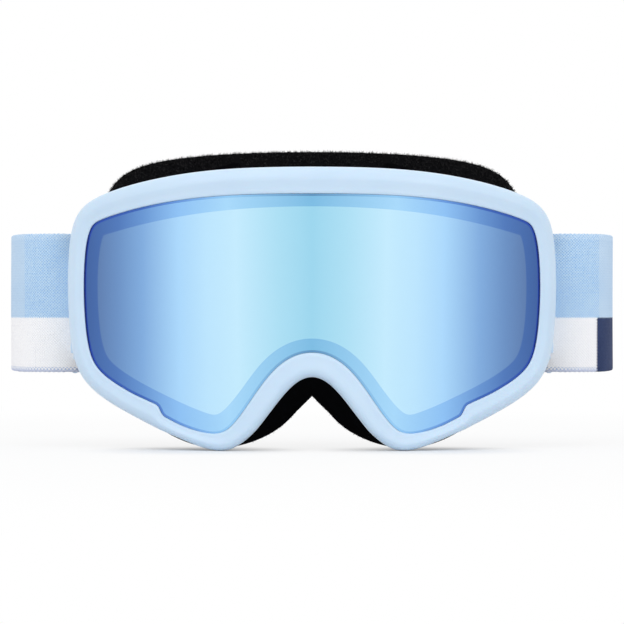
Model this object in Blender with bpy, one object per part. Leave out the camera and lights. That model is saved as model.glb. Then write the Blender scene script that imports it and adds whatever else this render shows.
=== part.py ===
"""Ski goggles with a mirrored double lens, vented skirt, layered face foam and an adjustable strap.

+X is to the right seen from the front, +Y runs back towards the wearer's face, +Z is up.
The goggles stand on the two lower lobes of the frame. The origin is under the middle of the
whole object's box. Left and right are those of someone looking at the lens.
"""
import math

import bmesh
import bpy
from mathutils import Matrix, Vector

MM = 0.001

# Overall sizes
FRAME_WIDTH = 172 * MM
FRAME_HEIGHT = 98 * MM
LENS_RADIUS = 120 * MM        # radius of the frame's front, about an upright axis
GAP = 0.3 * MM                # between pieces that touch

# The outlines: one row for each control point of a closed cubic spline, from the middle of the
# top over the right side to the nose. The columns are, in millimetres, the frame's x and z, the
# rim's width, the face foam's x and z, the skirt's depth and the face foam's width.
OUTLINE_WIDTH = 172 * MM
OUTLINE_HEIGHT = 98 * MM
STATIONS = (
    (0.0, 98.0, 9.4, 0.0, 105.0, 24.0, 15.0),
    (31.5, 97.6, 9.3, 30.0, 104.7, 23.5, 15.0),
    (55.0, 94.5, 8.8, 54.0, 103.5, 22.5, 15.0),
    (74.5, 89.5, 8.6, 67.0, 98.5, 21.5, 14.0),
    (84.0, 82.5, 6.9, 75.0, 88.5, 21.0, 13.0),
    (86.9, 65.5, 5.8, 75.5, 68.0, 21.0, 13.0),
    (86.5, 43.5, 5.8, 74.5, 45.0, 21.0, 13.0),
    (83.8, 25.0, 6.4, 72.0, 25.0, 21.0, 13.0),
    (70.5, 15.3, 7.0, 63.0, 12.0, 20.5, 13.0),
    (51.0, 6.2, 6.9, 49.0, 3.0, 20.0, 13.0),
    (38.0, -0.3, 6.4, 36.0, -0.9, 19.5, 12.0),
    (28.0, -2.4, 6.6, 24.0, 0.8, 19.0, 12.0),
    (18.0, 8.0, 7.6, 14.0, 5.0, 18.5, 11.0),
    (8.0, 22.5, 8.4, 6.0, 13.0, 18.0, 12.0),
    (0.0, 27.0, 8.6, 0.0, 19.5, 18.0, 14.0),
)
SAMPLES_PER_SPAN = 3

# Frame and lens, measured inwards from the frame's front
LIP_DEPTH = 1.0 * MM
LENS_THICKNESS = 1.4 * MM
SPACER_THICKNESS = 2.8 * MM
INNER_LENS_THICKNESS = 0.8 * MM
SHELF_THICKNESS = 4.0 * MM
SPACER_WIDTH = 5.0 * MM
SHELF_WIDTH = 4.2 * MM
RIM_ROUNDING = 2.5 * MM
LENS_FRONT = LIP_DEPTH + 0.4 * MM
SPACER_FRONT = LENS_FRONT + LENS_THICKNESS + GAP
INNER_LENS_FRONT = SPACER_FRONT + SPACER_THICKNESS + GAP
SHELF_FRONT = INNER_LENS_FRONT + INNER_LENS_THICKNESS + GAP
FRAME_BACK = SHELF_FRONT + SHELF_THICKNESS
FILTER_RADIUS = 3.5 * MM
FILTER_THICKNESS = 0.6 * MM
FILTER_X = 52 * MM
FILTER_Z = FRAME_HEIGHT - 28 * MM

# Skirt and face foam
SKIRT_WALL = 2.2 * MM
SKIRT_INSET = 1.2 * MM        # from the lens outline to the skirt's front edge
FLANGE_THICKNESS = 1.6 * MM
FOAM_LAYERS = (
    ("face_foam_base", 5.0 * MM, "foam_base"),
    ("face_foam_mid", 8.0 * MM, "foam_mid"),
    ("face_fleece", 2.0 * MM, "fleece"),
)
VENT_WIDTH = 19 * MM
VENT_DEPTH = 7 * MM
VENT_RIB = 4 * MM
TOP_VENT_COUNT = 4
BOTTOM_VENT_X = 47 * MM
VENT_FOAM_THICKNESS = 2.5 * MM
VENT_FOAM_SPAN = (0.22, 0.8)  # from the skirt's front edge to its back edge
TOP_VENT_FOAM_X = 50 * MM
BOTTOM_VENT_FOAM_X = (32 * MM, 62 * MM)

# Strap
STRAP_HEIGHT = 50 * MM
STRAP_THICKNESS = 1.6 * MM
STRAP_Z = 51 * MM
LAYER_GAP = 0.4 * MM
BEND_RADIUS = 21 * MM
END_ANGLE = math.radians(32)  # of the bend that belongs to the sewn strap end
BEND_STEPS = 16
GRIP_LENGTH = 46 * MM
GRIP_WIDTH = 3 * MM
GRIP_THICKNESS = 0.5 * MM
GRIP_SPACING = 14 * MM

# Strap connectors, hinged on a pin in two lugs of the frame
PIN_RADIUS = 1.2 * MM
PIN_INSET = 2.7 * MM          # from the frame's side to the pin's axis
PIN_SETBACK = 4.2 * MM        # from the frame's back to the pin's axis
LUG_WIDTH = 5.0 * MM
LUG_HEIGHT = 4.0 * MM
LUG_ROOT = 7.0 * MM           # of the lug's length that lies inside the frame
KNUCKLE_HEIGHT = 27 * MM
KNUCKLE_RADIUS = 2.4 * MM
CONNECTOR_ANGLE = math.radians(80)
CONNECTOR_THICKNESS = 2.0 * MM
SPINE_START = 3.0 * MM        # from the pin's axis
SPINE_WIDTH = 1.4 * MM
WINDOW_WIDTH = 3.6 * MM
BAR_WIDTH = 2.0 * MM
ARM_HEIGHT = 2.4 * MM
LOOP_RADIUS = 2.6 * MM        # of the strap's middle round the connector's bar

# Strap sliders on the straight back run
SLIDER_X = 52 * MM
SLIDER_LENGTH = 21 * MM
SLIDER_BAR = 3.0 * MM
SLIDER_BAR_THICKNESS = 2.0 * MM
SLIDER_RAIL = 2.5 * MM

COLOURS = {
    "frame": ((0.59, 0.73, 0.90), 0.42),
    "skirt": ((0.012, 0.012, 0.014), 0.6),
    "outer_lens": ((0.33, 0.58, 0.86), 0.06),
    "inner_lens": ((0.10, 0.14, 0.20), 0.1),
    "spacer": ((0.05, 0.08, 0.14), 0.7),
    "filter": ((0.6, 0.6, 0.6), 0.8),
    "vent_foam": ((0.02, 0.02, 0.022), 0.95),
    "foam_base": ((0.012, 0.012, 0.014), 0.95),
    "foam_mid": ((0.02, 0.02, 0.022), 0.95),
    "fleece": ((0.01, 0.01, 0.012), 1.0),
    "connector": ((0.03, 0.035, 0.045), 0.4),
    "pin": ((0.6, 0.6, 0.62), 0.3),
    "strap": ((0.39, 0.58, 0.83), 0.85),
    "grip": ((0.75, 0.8, 0.88), 0.35),
    "slider": ((0.04, 0.055, 0.10), 0.4),
}


def clear_scene():
    for thing in list(bpy.data.objects):
        bpy.data.objects.remove(thing)


def make_collection(name):
    collection = bpy.data.collections.new(name)
    bpy.context.scene.collection.children.link(collection)
    return collection


def material(slot):
    existing = bpy.data.materials.get(slot)
    if existing:
        return existing
    colour, roughness = COLOURS[slot]
    made = bpy.data.materials.new(slot)
    made.use_nodes = True
    shader = made.node_tree.nodes["Principled BSDF"]
    shader.inputs["Base Color"].default_value = (*colour, 1)
    shader.inputs["Roughness"].default_value = roughness
    shader.inputs["Metallic"].default_value = 1.0 if slot == "pin" else 0.0
    return made


def add_part(name, mesh_builder, slot):
    """Make a named part of the goggles from a bmesh, with its faces pointing out."""
    bmesh.ops.recalc_face_normals(mesh_builder, faces=mesh_builder.faces)
    mesh = bpy.data.meshes.new(name)
    mesh_builder.to_mesh(mesh)
    mesh_builder.free()
    mesh.shade_smooth()
    mesh.set_sharp_from_angle(angle=math.radians(35))
    mesh.materials.append(material(slot))
    part = bpy.data.objects.new(name, mesh)
    PARTS.objects.link(part)
    part.parent = ORIGIN
    return part


def add_tool(name, mesh_builder):
    """Make a helper that a Boolean modifier reads."""
    bmesh.ops.recalc_face_normals(mesh_builder, faces=mesh_builder.faces)
    mesh = bpy.data.meshes.new(name)
    mesh_builder.to_mesh(mesh)
    mesh_builder.free()
    tool = bpy.data.objects.new(name, mesh)
    tool.hide_render = True
    tool.display_type = "WIRE"
    TOOLS.objects.link(tool)
    tool.parent = ORIGIN
    return tool


def combine(part, tool, operation):
    modifier = part.modifiers.new(tool.name, "BOOLEAN")
    modifier.object = tool
    modifier.operation = operation
    modifier.solver = "EXACT"


def move_origin(part, pivot):
    """Put the part's own origin on its joint, with its shape left where it is."""
    part.data.transform(Matrix.Translation(-Vector(pivot)))
    part.location = pivot


def box(low, high):
    """A box between two corners, as a bmesh."""
    low = Vector(low)
    high = Vector(high)
    shape = bmesh.new()
    size = Matrix.Diagonal((*(high - low), 1))
    bmesh.ops.create_cube(shape, size=1, matrix=Matrix.Translation((low + high) / 2) @ size)
    return shape


def mirrored_box(low, high, side):
    """A box given for the right side, put on the right (side 1) or the left (side -1)."""
    ends = sorted((low[0] * side, high[0] * side))
    return box((ends[0], low[1], low[2]), (ends[1], high[1], high[2]))


def upright_cylinder(radius, centre, half_height, sides=16):
    shape = bmesh.new()
    bmesh.ops.create_cone(
        shape, cap_ends=True, segments=sides, radius1=radius, radius2=radius,
        depth=2 * half_height, matrix=Matrix.Translation(centre),
    )
    return shape


def spline(controls):
    """Points of the closed cubic B-spline of a list of control rows."""
    count = len(controls)
    points = []
    for index in range(count):
        a, b, c, d = (controls[(index + step) % count] for step in (-1, 0, 1, 2))
        for sample in range(SAMPLES_PER_SPAN):
            t = sample / SAMPLES_PER_SPAN
            weights = (
                (1 - t) ** 3 / 6,
                (3 * t**3 - 6 * t**2 + 4) / 6,
                (-3 * t**3 + 3 * t**2 + 3 * t + 1) / 6,
                t**3 / 6,
            )
            rows = zip(a, b, c, d)
            points.append(tuple(sum(w * v for w, v in zip(weights, row)) for row in rows))
    return points


def scaled_stations():
    """The whole closed outline table in metres, with the left side mirrored from the right."""
    wide = FRAME_WIDTH / OUTLINE_WIDTH * MM
    high = FRAME_HEIGHT / OUTLINE_HEIGHT * MM
    right = [
        (x * wide, z * high, rim * MM, fx * wide, fz * high, skirt * MM, foam * MM)
        for x, z, rim, fx, fz, skirt, foam in STATIONS
    ]
    left = [(-x, z, rim, -fx, fz, skirt, foam) for x, z, rim, fx, fz, skirt, foam in right[-2:0:-1]]
    return right + left


def inset(outline, distance):
    """An outline moved inwards by one distance, or by one for each point."""
    count = len(outline)
    moved = []
    for index, (x, z) in enumerate(outline):
        ahead = outline[(index + 1) % count]
        behind = outline[index - 1]
        run = Vector((ahead[0] - behind[0], ahead[1] - behind[1])).normalized()
        step = distance[index] if isinstance(distance, list) else distance
        moved.append((x + run.y * step, z - run.x * step))
    return moved


def bow(x, depth):
    """How far back the cylinder at this depth behind the frame's front lies at x."""
    return LENS_RADIUS - math.sqrt((LENS_RADIUS - depth) ** 2 - x * x)


def ring(outline, depth):
    """An outline laid on the cylinder at a depth behind the frame's front."""
    return [(x, bow(x, depth), z) for x, z in outline]


def shifted(points, back):
    return [(x, y + back, z) for x, y, z in points]


def between(ring_a, ring_b, share):
    return [tuple(Vector(a).lerp(Vector(b), share)) for a, b in zip(ring_a, ring_b)]


def loft(rings, closed=True):
    """A solid whose section runs through the rings, in order; an open one gets end caps."""
    shape = bmesh.new()
    grid = [[shape.verts.new(point) for point in one] for one in rings]
    length = len(rings[0])
    spans = length if closed else length - 1
    for j, row in enumerate(grid):
        following = grid[(j + 1) % len(grid)]
        for i in range(spans):
            k = (i + 1) % length
            shape.faces.new((row[i], row[k], following[k], following[i]))
    if not closed:
        shape.faces.new([row[0] for row in grid])
        shape.faces.new([row[-1] for row in reversed(grid)])
    bmesh.ops.triangulate(shape, faces=shape.faces, quad_method="SHORT_EDGE")
    return shape


def pane(name, outline, front, thickness, slot):
    """A curved pane: the outline's prism cut to the slab between two cylinders."""
    reach = max(x for x, _ in outline) + 2 * MM
    steps = 40
    xs = [reach * (2 * i / steps - 1) for i in range(steps + 1)]
    low = min(z for _, z in outline) - MM
    high = max(z for _, z in outline) + MM
    corners = ((front, low), (front, high), (front + thickness, high), (front + thickness, low))
    slab = loft([[(x, bow(x, depth), z) for x in xs] for depth, z in corners], closed=False)
    far = bow(reach, front + thickness) + MM
    prism = bmesh.new()
    ends = [[prism.verts.new((x, y, z)) for x, z in outline] for y in (-MM, far)]
    for i in range(len(outline)):
        k = (i + 1) % len(outline)
        prism.faces.new((ends[0][i], ends[0][k], ends[1][k], ends[1][i]))
    prism.faces.new(ends[0])
    prism.faces.new(reversed(ends[1]))
    part = add_part(name, slab, slot)
    combine(part, add_tool(name + "_outline", prism), "INTERSECT")
    return part


def ribbon(path, low, high):
    """A strap of the given thickness, between two heights, along a path of (x, y) points."""
    half = STRAP_THICKNESS / 2
    outer = []
    inner = []
    for index, point in enumerate(path):
        behind = Vector(path[max(index - 1, 0)])
        ahead = Vector(path[min(index + 1, len(path) - 1)])
        run = (ahead - behind).normalized()
        side = Vector((run.y, -run.x)) * half
        outer.append(Vector(point) + side)
        inner.append(Vector(point) - side)
    sides = ((outer, low), (outer, high), (inner, high), (inner, low))
    return loft([[(p.x, p.y, z) for p in line] for line, z in sides], closed=False)


def lug_block(side, middle):
    """A lug that runs back from inside the frame and ends in a round eye about the pin."""
    half = LUG_WIDTH / 2
    root = PIN_Y - PIN_SETBACK - LUG_ROOT
    arc = [math.pi * i / 8 for i in range(9)]
    eye = [(PIN_X + half * math.cos(turn), PIN_Y + half * math.sin(turn)) for turn in arc]
    outline = [(PIN_X - half, root), (PIN_X + half, root)] + eye
    block = bmesh.new()
    corners = [block.verts.new((side * x, y, middle - LUG_HEIGHT / 2)) for x, y in outline]
    grown = bmesh.ops.extrude_face_region(block, geom=[block.faces.new(corners)])
    top = [item for item in grown["geom"] if isinstance(item, bmesh.types.BMVert)]
    bmesh.ops.translate(block, vec=(0, 0, LUG_HEIGHT), verts=top)
    return block


def make_frame():
    outer = inset(FRAME_OUTLINE, 0.0)
    rounded = inset(FRAME_OUTLINE, RIM_ROUNDING)
    rebate = inset(LENS_OUTLINE, -GAP)
    crown = [tuple(Vector(a).lerp(Vector(b), 0.55)) for a, b in zip(outer, rebate)]
    shelf = inset(LENS_OUTLINE, SHELF_WIDTH)
    back = [tuple(Vector(a).lerp(Vector(b), 0.5)) for a, b in zip(shelf, rounded)]
    rings = [
        ring(outer, RIM_ROUNDING + LIP_DEPTH),
        ring(rounded, LIP_DEPTH),
        ring(crown, 0.0),
        ring(rebate, LIP_DEPTH),
        ring(rebate, SHELF_FRONT),
        ring(shelf, SHELF_FRONT),
        ring(shelf, FRAME_BACK),
        ring(back, FRAME_BACK),
        ring(rounded, FRAME_BACK),
        ring(outer, FRAME_BACK - RIM_ROUNDING),
    ]
    frame = add_part("front_frame", loft(rings), "frame")
    for side, word in SIDES:
        for level in (-1, 1):
            level_word = "upper" if level > 0 else "lower"
            middle = STRAP_Z + level * (KNUCKLE_HEIGHT / 2 + GAP + LUG_HEIGHT / 2)
            lug = add_tool(f"{word}_{level_word}_lug", lug_block(side, middle))
            combine(frame, lug, "UNION")
        bore = upright_cylinder(PIN_RADIUS + GAP, (side * PIN_X, PIN_Y, STRAP_Z), KNUCKLE_HEIGHT)
        combine(frame, add_tool(word + "_lug_bore", bore), "DIFFERENCE")
    reach = FRAME_WIDTH
    ground = box((-reach, -reach, -FRAME_HEIGHT), (reach, reach, 0))
    combine(frame, add_tool("ground", ground), "DIFFERENCE")


def make_lens_unit():
    seat = inset(LENS_OUTLINE, GAP)
    pane("outer_lens", LENS_OUTLINE, LENS_FRONT, LENS_THICKNESS, "outer_lens")
    band = inset(LENS_OUTLINE, SPACER_WIDTH)
    back = SPACER_FRONT + SPACER_THICKNESS
    rings = [ring(seat, SPACER_FRONT), ring(band, SPACER_FRONT), ring(band, back), ring(seat, back)]
    add_part("lens_spacer", loft(rings), "spacer")
    pane("inner_lens", seat, INNER_LENS_FRONT, INNER_LENS_THICKNESS, "inner_lens")
    depth = INNER_LENS_FRONT + INNER_LENS_THICKNESS + GAP
    angle = math.asin(FILTER_X / (LENS_RADIUS - depth))
    disc = bmesh.new()
    radial = LENS_RADIUS - depth - FILTER_THICKNESS / 2 - FILTER_BOW
    centre = (radial * math.sin(angle), LENS_RADIUS - radial * math.cos(angle), FILTER_Z)
    place = Matrix.Translation(centre) @ Matrix.Rotation(angle, 4, "Z")
    bmesh.ops.create_cone(
        disc, cap_ends=True, segments=20, radius1=FILTER_RADIUS, radius2=FILTER_RADIUS,
        depth=FILTER_THICKNESS, matrix=place @ Matrix.Rotation(math.pi / 2, 4, "X"),
    )
    add_part("lens_vent_filter", disc, "filter")


def make_skirt():
    rings = [
        SKIRT_FRONT_OUTER,
        shifted(FACE_OUTER, -FLANGE_THICKNESS),
        FACE_OUTER,
        FACE_INNER,
        shifted(FACE_INNER, -FLANGE_THICKNESS),
        SKIRT_BACK_INNER,
        SKIRT_FRONT_INNER,
    ]
    skirt = add_part("face_skirt", loft(rings), "skirt")
    pitch = VENT_WIDTH + VENT_RIB
    top_y = (bow(0, FRAME_BACK) + FACE_OUTER[0][1]) / 2
    for number in range(TOP_VENT_COUNT):
        x = (number - (TOP_VENT_COUNT - 1) / 2) * pitch
        y = top_y + bow(x, FRAME_BACK) - bow(0, FRAME_BACK)
        low = (x - VENT_WIDTH / 2, y - VENT_DEPTH / 2, FRAME_HEIGHT / 2)
        high = (x + VENT_WIDTH / 2, y + VENT_DEPTH / 2, FRAME_HEIGHT * 2)
        combine(skirt, add_tool(f"top_vent_{number + 1}", box(low, high)), "DIFFERENCE")
    for side, word in SIDES:
        y = bow(BOTTOM_VENT_X, FRAME_BACK) + (FACE_OUTER[0][1] - bow(0, FRAME_BACK)) / 2.4
        low = (BOTTOM_VENT_X - VENT_WIDTH / 2, y - VENT_DEPTH / 2, -FRAME_HEIGHT)
        high = (BOTTOM_VENT_X + VENT_WIDTH / 2, y + VENT_DEPTH / 2, FRAME_HEIGHT / 2)
        vent = add_tool(word + "_bottom_vent", mirrored_box(low, high, side))
        combine(skirt, vent, "DIFFERENCE")


def make_vent_foam(name, keep):
    """A strip of open foam inside the skirt's wall, along the ring points that keep() accepts."""
    near = 1.6 * GAP
    far = near + VENT_FOAM_THICKNESS
    section = []
    for share, step in ((0, near), (1, near), (1, far), (0, far)):
        wall = between(SKIRT_FRONT_INNER, SKIRT_BACK_INNER, VENT_FOAM_SPAN[share])
        flat = inset([(x, z) for x, _, z in wall], step)
        section.append([(x, p[1], z) for (x, z), p in zip(flat, wall)])
    count = len(FRAME_OUTLINE)
    half = count // 2
    order = [i % count for i in range(-half + 1, half)] if keep(*FRAME_OUTLINE[0]) else range(count)
    chosen = [i for i in order if keep(*FRAME_OUTLINE[i])]
    strip = [[line[i] for i in chosen] for line in section]
    add_part(name, loft(strip, closed=False), "vent_foam")


def make_vent_foams():
    middle = FRAME_HEIGHT / 2
    make_vent_foam("top_vent_foam", lambda x, z: abs(x) < TOP_VENT_FOAM_X and z > middle)
    inner, outer = BOTTOM_VENT_FOAM_X
    for side, word in SIDES:
        make_vent_foam(
            f"{word}_bottom_vent_foam",
            lambda x, z, side=side: inner < x * side < outer and z < middle,
        )


def make_face_foam():
    back = GAP
    for name, thickness, slot in FOAM_LAYERS:
        layer = [
            shifted(FACE_OUTER, back),
            shifted(FACE_INNER, back),
            shifted(FACE_INNER, back + thickness),
            shifted(FACE_OUTER, back + thickness),
        ]
        add_part(name, loft(layer), slot)
        back += thickness + GAP


def connector_box(start, end, half_thickness, half_height, side):
    """A block along the connector's plate, from start to end behind the hinge's axis."""
    block = box((start, -half_thickness, -half_height), (end, half_thickness, half_height))
    turn = CONNECTOR_ANGLE if side > 0 else math.pi - CONNECTOR_ANGLE
    place = Matrix.Translation((side * PIN_X, PIN_Y, STRAP_Z)) @ Matrix.Rotation(turn, 4, "Z")
    bmesh.ops.transform(block, matrix=place, verts=block.verts)
    return block


def make_connector(side, word):
    """The clip that the strap loops through, and the pin that it turns on."""
    axis = (side * PIN_X, PIN_Y, STRAP_Z)
    half = CONNECTOR_THICKNESS / 2
    window = STRAP_HEIGHT / 2 + 2 * GAP
    end = SPINE_START + SPINE_WIDTH + WINDOW_WIDTH + BAR_WIDTH
    plate = connector_box(SPINE_START, end, half, window + ARM_HEIGHT, side)
    connector = add_part(word + "_connector", plate, "connector")
    opening_start = SPINE_START + SPINE_WIDTH
    opening = connector_box(opening_start, opening_start + WINDOW_WIDTH, 3 * half, window, side)
    combine(connector, add_tool(word + "_connector_window", opening), "DIFFERENCE")
    web = connector_box(0, SPINE_START + SPINE_WIDTH / 2, half * 0.9, KNUCKLE_HEIGHT / 2 - GAP, side)
    combine(connector, add_tool(word + "_connector_web", web), "UNION")
    knuckle = upright_cylinder(KNUCKLE_RADIUS, axis, KNUCKLE_HEIGHT / 2)
    combine(connector, add_tool(word + "_knuckle", knuckle), "UNION")
    bore = upright_cylinder(PIN_RADIUS + GAP, axis, KNUCKLE_HEIGHT)
    combine(connector, add_tool(word + "_knuckle_bore", bore), "DIFFERENCE")
    move_origin(connector, axis)
    pin_half = KNUCKLE_HEIGHT / 2 + GAP + LUG_HEIGHT
    pin = add_part(word + "_hinge_pin", upright_cylinder(PIN_RADIUS, axis, pin_half), "pin")
    move_origin(pin, axis)


def bend_point(side, angle, radius):
    """A point of the strap's bend; the angle is 0 at the front and half a turn at the back."""
    x = BEND_X + radius * math.sin(angle)
    return (side * x, BEND_Y - radius * math.cos(angle))


def make_strap_end(side, word):
    """The sewn loop round the connector's bar, with the start of both layers."""
    layer = STRAP_THICKNESS + LAYER_GAP
    steps = 5
    path = [bend_point(side, END_ANGLE * (1 - i / steps), BEND_RADIUS) for i in range(steps)]
    for i in range(9):
        angle = math.pi * i / 8
        x = BAR_X - LOOP_RADIUS * math.sin(angle)
        path.append((side * x, BAR_Y - LOOP_RADIUS * math.cos(angle)))
    for i in range(1, steps + 1):
        share = min(1, i / (steps - 1))
        radius = BEND_RADIUS - 2 * LOOP_RADIUS * (1 - share) - layer * share
        path.append(bend_point(side, END_ANGLE * i / steps, radius))
    low = STRAP_Z - STRAP_HEIGHT / 2
    end = add_part(word + "_strap_end", ribbon(path, low, low + STRAP_HEIGHT), "strap")
    move_origin(end, (side * PIN_X, PIN_Y, STRAP_Z))


def make_strap():
    """The outer layer all the way round the back, and the inner layers to the sliders."""
    low = STRAP_Z - STRAP_HEIGHT / 2
    high = low + STRAP_HEIGHT
    start = END_ANGLE + GAP / BEND_RADIUS
    angles = [start + (math.pi - start) * i / BEND_STEPS for i in range(BEND_STEPS + 1)]
    right = [bend_point(1, angle, BEND_RADIUS) for angle in angles]
    left = [(-x, y) for x, y in reversed(right)]
    add_part("strap_main", ribbon(right + left, low, high), "strap")
    inner_radius = BEND_RADIUS - STRAP_THICKNESS - LAYER_GAP
    for side, word in SIDES:
        path = [bend_point(side, angle, inner_radius) for angle in angles]
        path.append((side * (SLIDER_X + SLIDER_BAR / 2 + GAP), path[-1][1]))
        add_part(word + "_strap_inner_layer", ribbon(path, low, high), "strap")
        make_strap_end(side, word)
    face = RUN_Y - STRAP_THICKNESS / 2 - GAP
    for number, level in enumerate((1, 0, -1)):
        z = STRAP_Z + level * GRIP_SPACING
        bead = box((-GRIP_LENGTH / 2, face - GRIP_THICKNESS, z - GRIP_WIDTH / 2),
                   (GRIP_LENGTH / 2, face, z + GRIP_WIDTH / 2))
        add_part(f"silicone_grip_{number + 1}", bead, "grip")


def make_slider(side, word):
    """A three-bar slider: two bars outside the strap, one inside it, and two rails."""
    half = SLIDER_LENGTH / 2
    strap_face = STRAP_THICKNESS / 2 + GAP
    inner = RUN_Y - strap_face - SLIDER_BAR_THICKNESS
    outer = RUN_Y + strap_face + SLIDER_BAR_THICKNESS
    slot = STRAP_HEIGHT / 2 + GAP
    reach = slot + SLIDER_RAIL
    x = side * SLIDER_X
    body = box((x - half, inner, STRAP_Z - reach), (x + half, outer, STRAP_Z + reach))
    slider = add_part(word + "_slider", body, "slider")
    passage = box((x - SLIDER_LENGTH, RUN_Y - strap_face, STRAP_Z - slot),
                  (x + SLIDER_LENGTH, RUN_Y + strap_face, STRAP_Z + slot))
    combine(slider, add_tool(word + "_slider_passage", passage), "DIFFERENCE")
    opening = half - SLIDER_BAR
    window = box((x - opening, RUN_Y, STRAP_Z - slot), (x + opening, outer + MM, STRAP_Z + slot))
    combine(slider, add_tool(word + "_slider_window", window), "DIFFERENCE")
    for end, end_word in ((-1, "a"), (1, "b")):
        edges = sorted((x + end * SLIDER_BAR / 2, x + end * SLIDER_LENGTH))
        relief = box((edges[0], inner - MM, STRAP_Z - slot), (edges[1], RUN_Y, STRAP_Z + slot))
        combine(slider, add_tool(f"{word}_slider_relief_{end_word}", relief), "DIFFERENCE")
    move_origin(slider, (x, RUN_Y, STRAP_Z))


SIDES = ((-1, "left"), (1, "right"))

TABLE = spline(scaled_stations())
FRAME_OUTLINE = [(row[0], row[1]) for row in TABLE]
LENS_OUTLINE = inset(FRAME_OUTLINE, [row[2] for row in TABLE])
FACE_OUTLINE = [(row[3], row[4]) for row in TABLE]
FACE_INNER_OUTLINE = inset(FACE_OUTLINE, [row[6] for row in TABLE])
SKIRT_START = FRAME_BACK + GAP
FACE_DEPTHS = [bow(row[3], SKIRT_START) + row[5] for row in TABLE]
FACE_OUTER = [(x, y, z) for (x, z), y in zip(FACE_OUTLINE, FACE_DEPTHS)]
FACE_INNER = [(x, y, z) for (x, z), y in zip(FACE_INNER_OUTLINE, FACE_DEPTHS)]
SKIRT_FRONT_OUTER = ring(inset(LENS_OUTLINE, SKIRT_INSET), SKIRT_START)
SKIRT_FRONT_INNER = ring(inset(LENS_OUTLINE, SKIRT_INSET + SKIRT_WALL), SKIRT_START)
SKIRT_BACK_INNER = [
    (x, y - FLANGE_THICKNESS, z)
    for (x, z), y in zip(inset(FACE_OUTLINE, SKIRT_WALL), FACE_DEPTHS)
]

FRAME_SIDE = max(x for x, _ in FRAME_OUTLINE)
FILTER_BOW = LENS_RADIUS - math.sqrt(LENS_RADIUS**2 - FILTER_RADIUS**2)
PIN_X = FRAME_SIDE - PIN_INSET
PIN_Y = bow(PIN_X, FRAME_BACK) + PIN_SETBACK
BAR_REACH = SPINE_START + SPINE_WIDTH + WINDOW_WIDTH + BAR_WIDTH / 2
BAR_X = PIN_X + BAR_REACH * math.cos(CONNECTOR_ANGLE)
BAR_Y = PIN_Y + BAR_REACH * math.sin(CONNECTOR_ANGLE)
BEND_X = BAR_X + 1.0 * MM
BEND_Y = BAR_Y - LOOP_RADIUS + BEND_RADIUS
RUN_Y = BEND_Y + BEND_RADIUS
TOTAL_DEPTH = RUN_Y + STRAP_THICKNESS / 2 + GAP + SLIDER_BAR_THICKNESS

clear_scene()
PARTS = make_collection("ski_goggles")
TOOLS = make_collection("tools")
ORIGIN = bpy.data.objects.new("goggles_origin", None)
ORIGIN.location = (0, -TOTAL_DEPTH / 2, 0)
PARTS.objects.link(ORIGIN)

make_frame()
make_lens_unit()
make_skirt()
make_vent_foams()
make_face_foam()
make_strap()
for hand, label in SIDES:
    make_connector(hand, label)
    make_slider(hand, label)
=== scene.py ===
import math
import random

import bmesh
import bpy
import numpy as np
from mathutils import Matrix, Vector, noise


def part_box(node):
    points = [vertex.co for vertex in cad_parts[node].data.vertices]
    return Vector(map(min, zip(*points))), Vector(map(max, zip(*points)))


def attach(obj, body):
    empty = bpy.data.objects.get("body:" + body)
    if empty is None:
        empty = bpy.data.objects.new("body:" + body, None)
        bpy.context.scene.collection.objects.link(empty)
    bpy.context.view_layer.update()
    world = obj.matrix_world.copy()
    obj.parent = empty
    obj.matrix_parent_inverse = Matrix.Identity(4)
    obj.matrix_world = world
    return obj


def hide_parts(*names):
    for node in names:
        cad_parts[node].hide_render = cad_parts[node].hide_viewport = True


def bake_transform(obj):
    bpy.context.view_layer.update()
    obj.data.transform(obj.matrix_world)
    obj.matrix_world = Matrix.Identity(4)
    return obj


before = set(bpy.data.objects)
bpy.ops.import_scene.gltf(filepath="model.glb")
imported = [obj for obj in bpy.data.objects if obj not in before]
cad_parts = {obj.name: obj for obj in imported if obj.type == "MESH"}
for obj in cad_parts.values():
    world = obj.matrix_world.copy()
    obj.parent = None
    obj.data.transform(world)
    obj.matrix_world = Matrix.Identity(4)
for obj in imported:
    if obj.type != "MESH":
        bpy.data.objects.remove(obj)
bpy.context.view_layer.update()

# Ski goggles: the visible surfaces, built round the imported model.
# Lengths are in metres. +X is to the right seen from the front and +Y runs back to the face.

MM = 0.001
noise.seed_set(7)             # the noise would start from the clock at each run without this

# ---------------------------------------------------------------- sizes
LENS_RADIUS = 120 * MM
FRONT_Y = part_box("front_frame")[0].y
LENS_FRONT = 1.4 * MM
LENS_THICKNESS = 1.4 * MM
INNER_LENS_FRONT = 6.2 * MM
INNER_LENS_THICKNESS = 0.8 * MM
SHELF_FRONT = 7.3 * MM
SHELF_WIDTH = 4.2 * MM
FRAME_BACK = 11.3 * MM
SKIRT_START = 11.6 * MM
SKIRT_WALL = 2.2 * MM
SKIRT_INSET = 1.2 * MM
FLANGE_THICKNESS = 1.6 * MM
LENS_SLIT = 0.08 * MM

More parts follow.
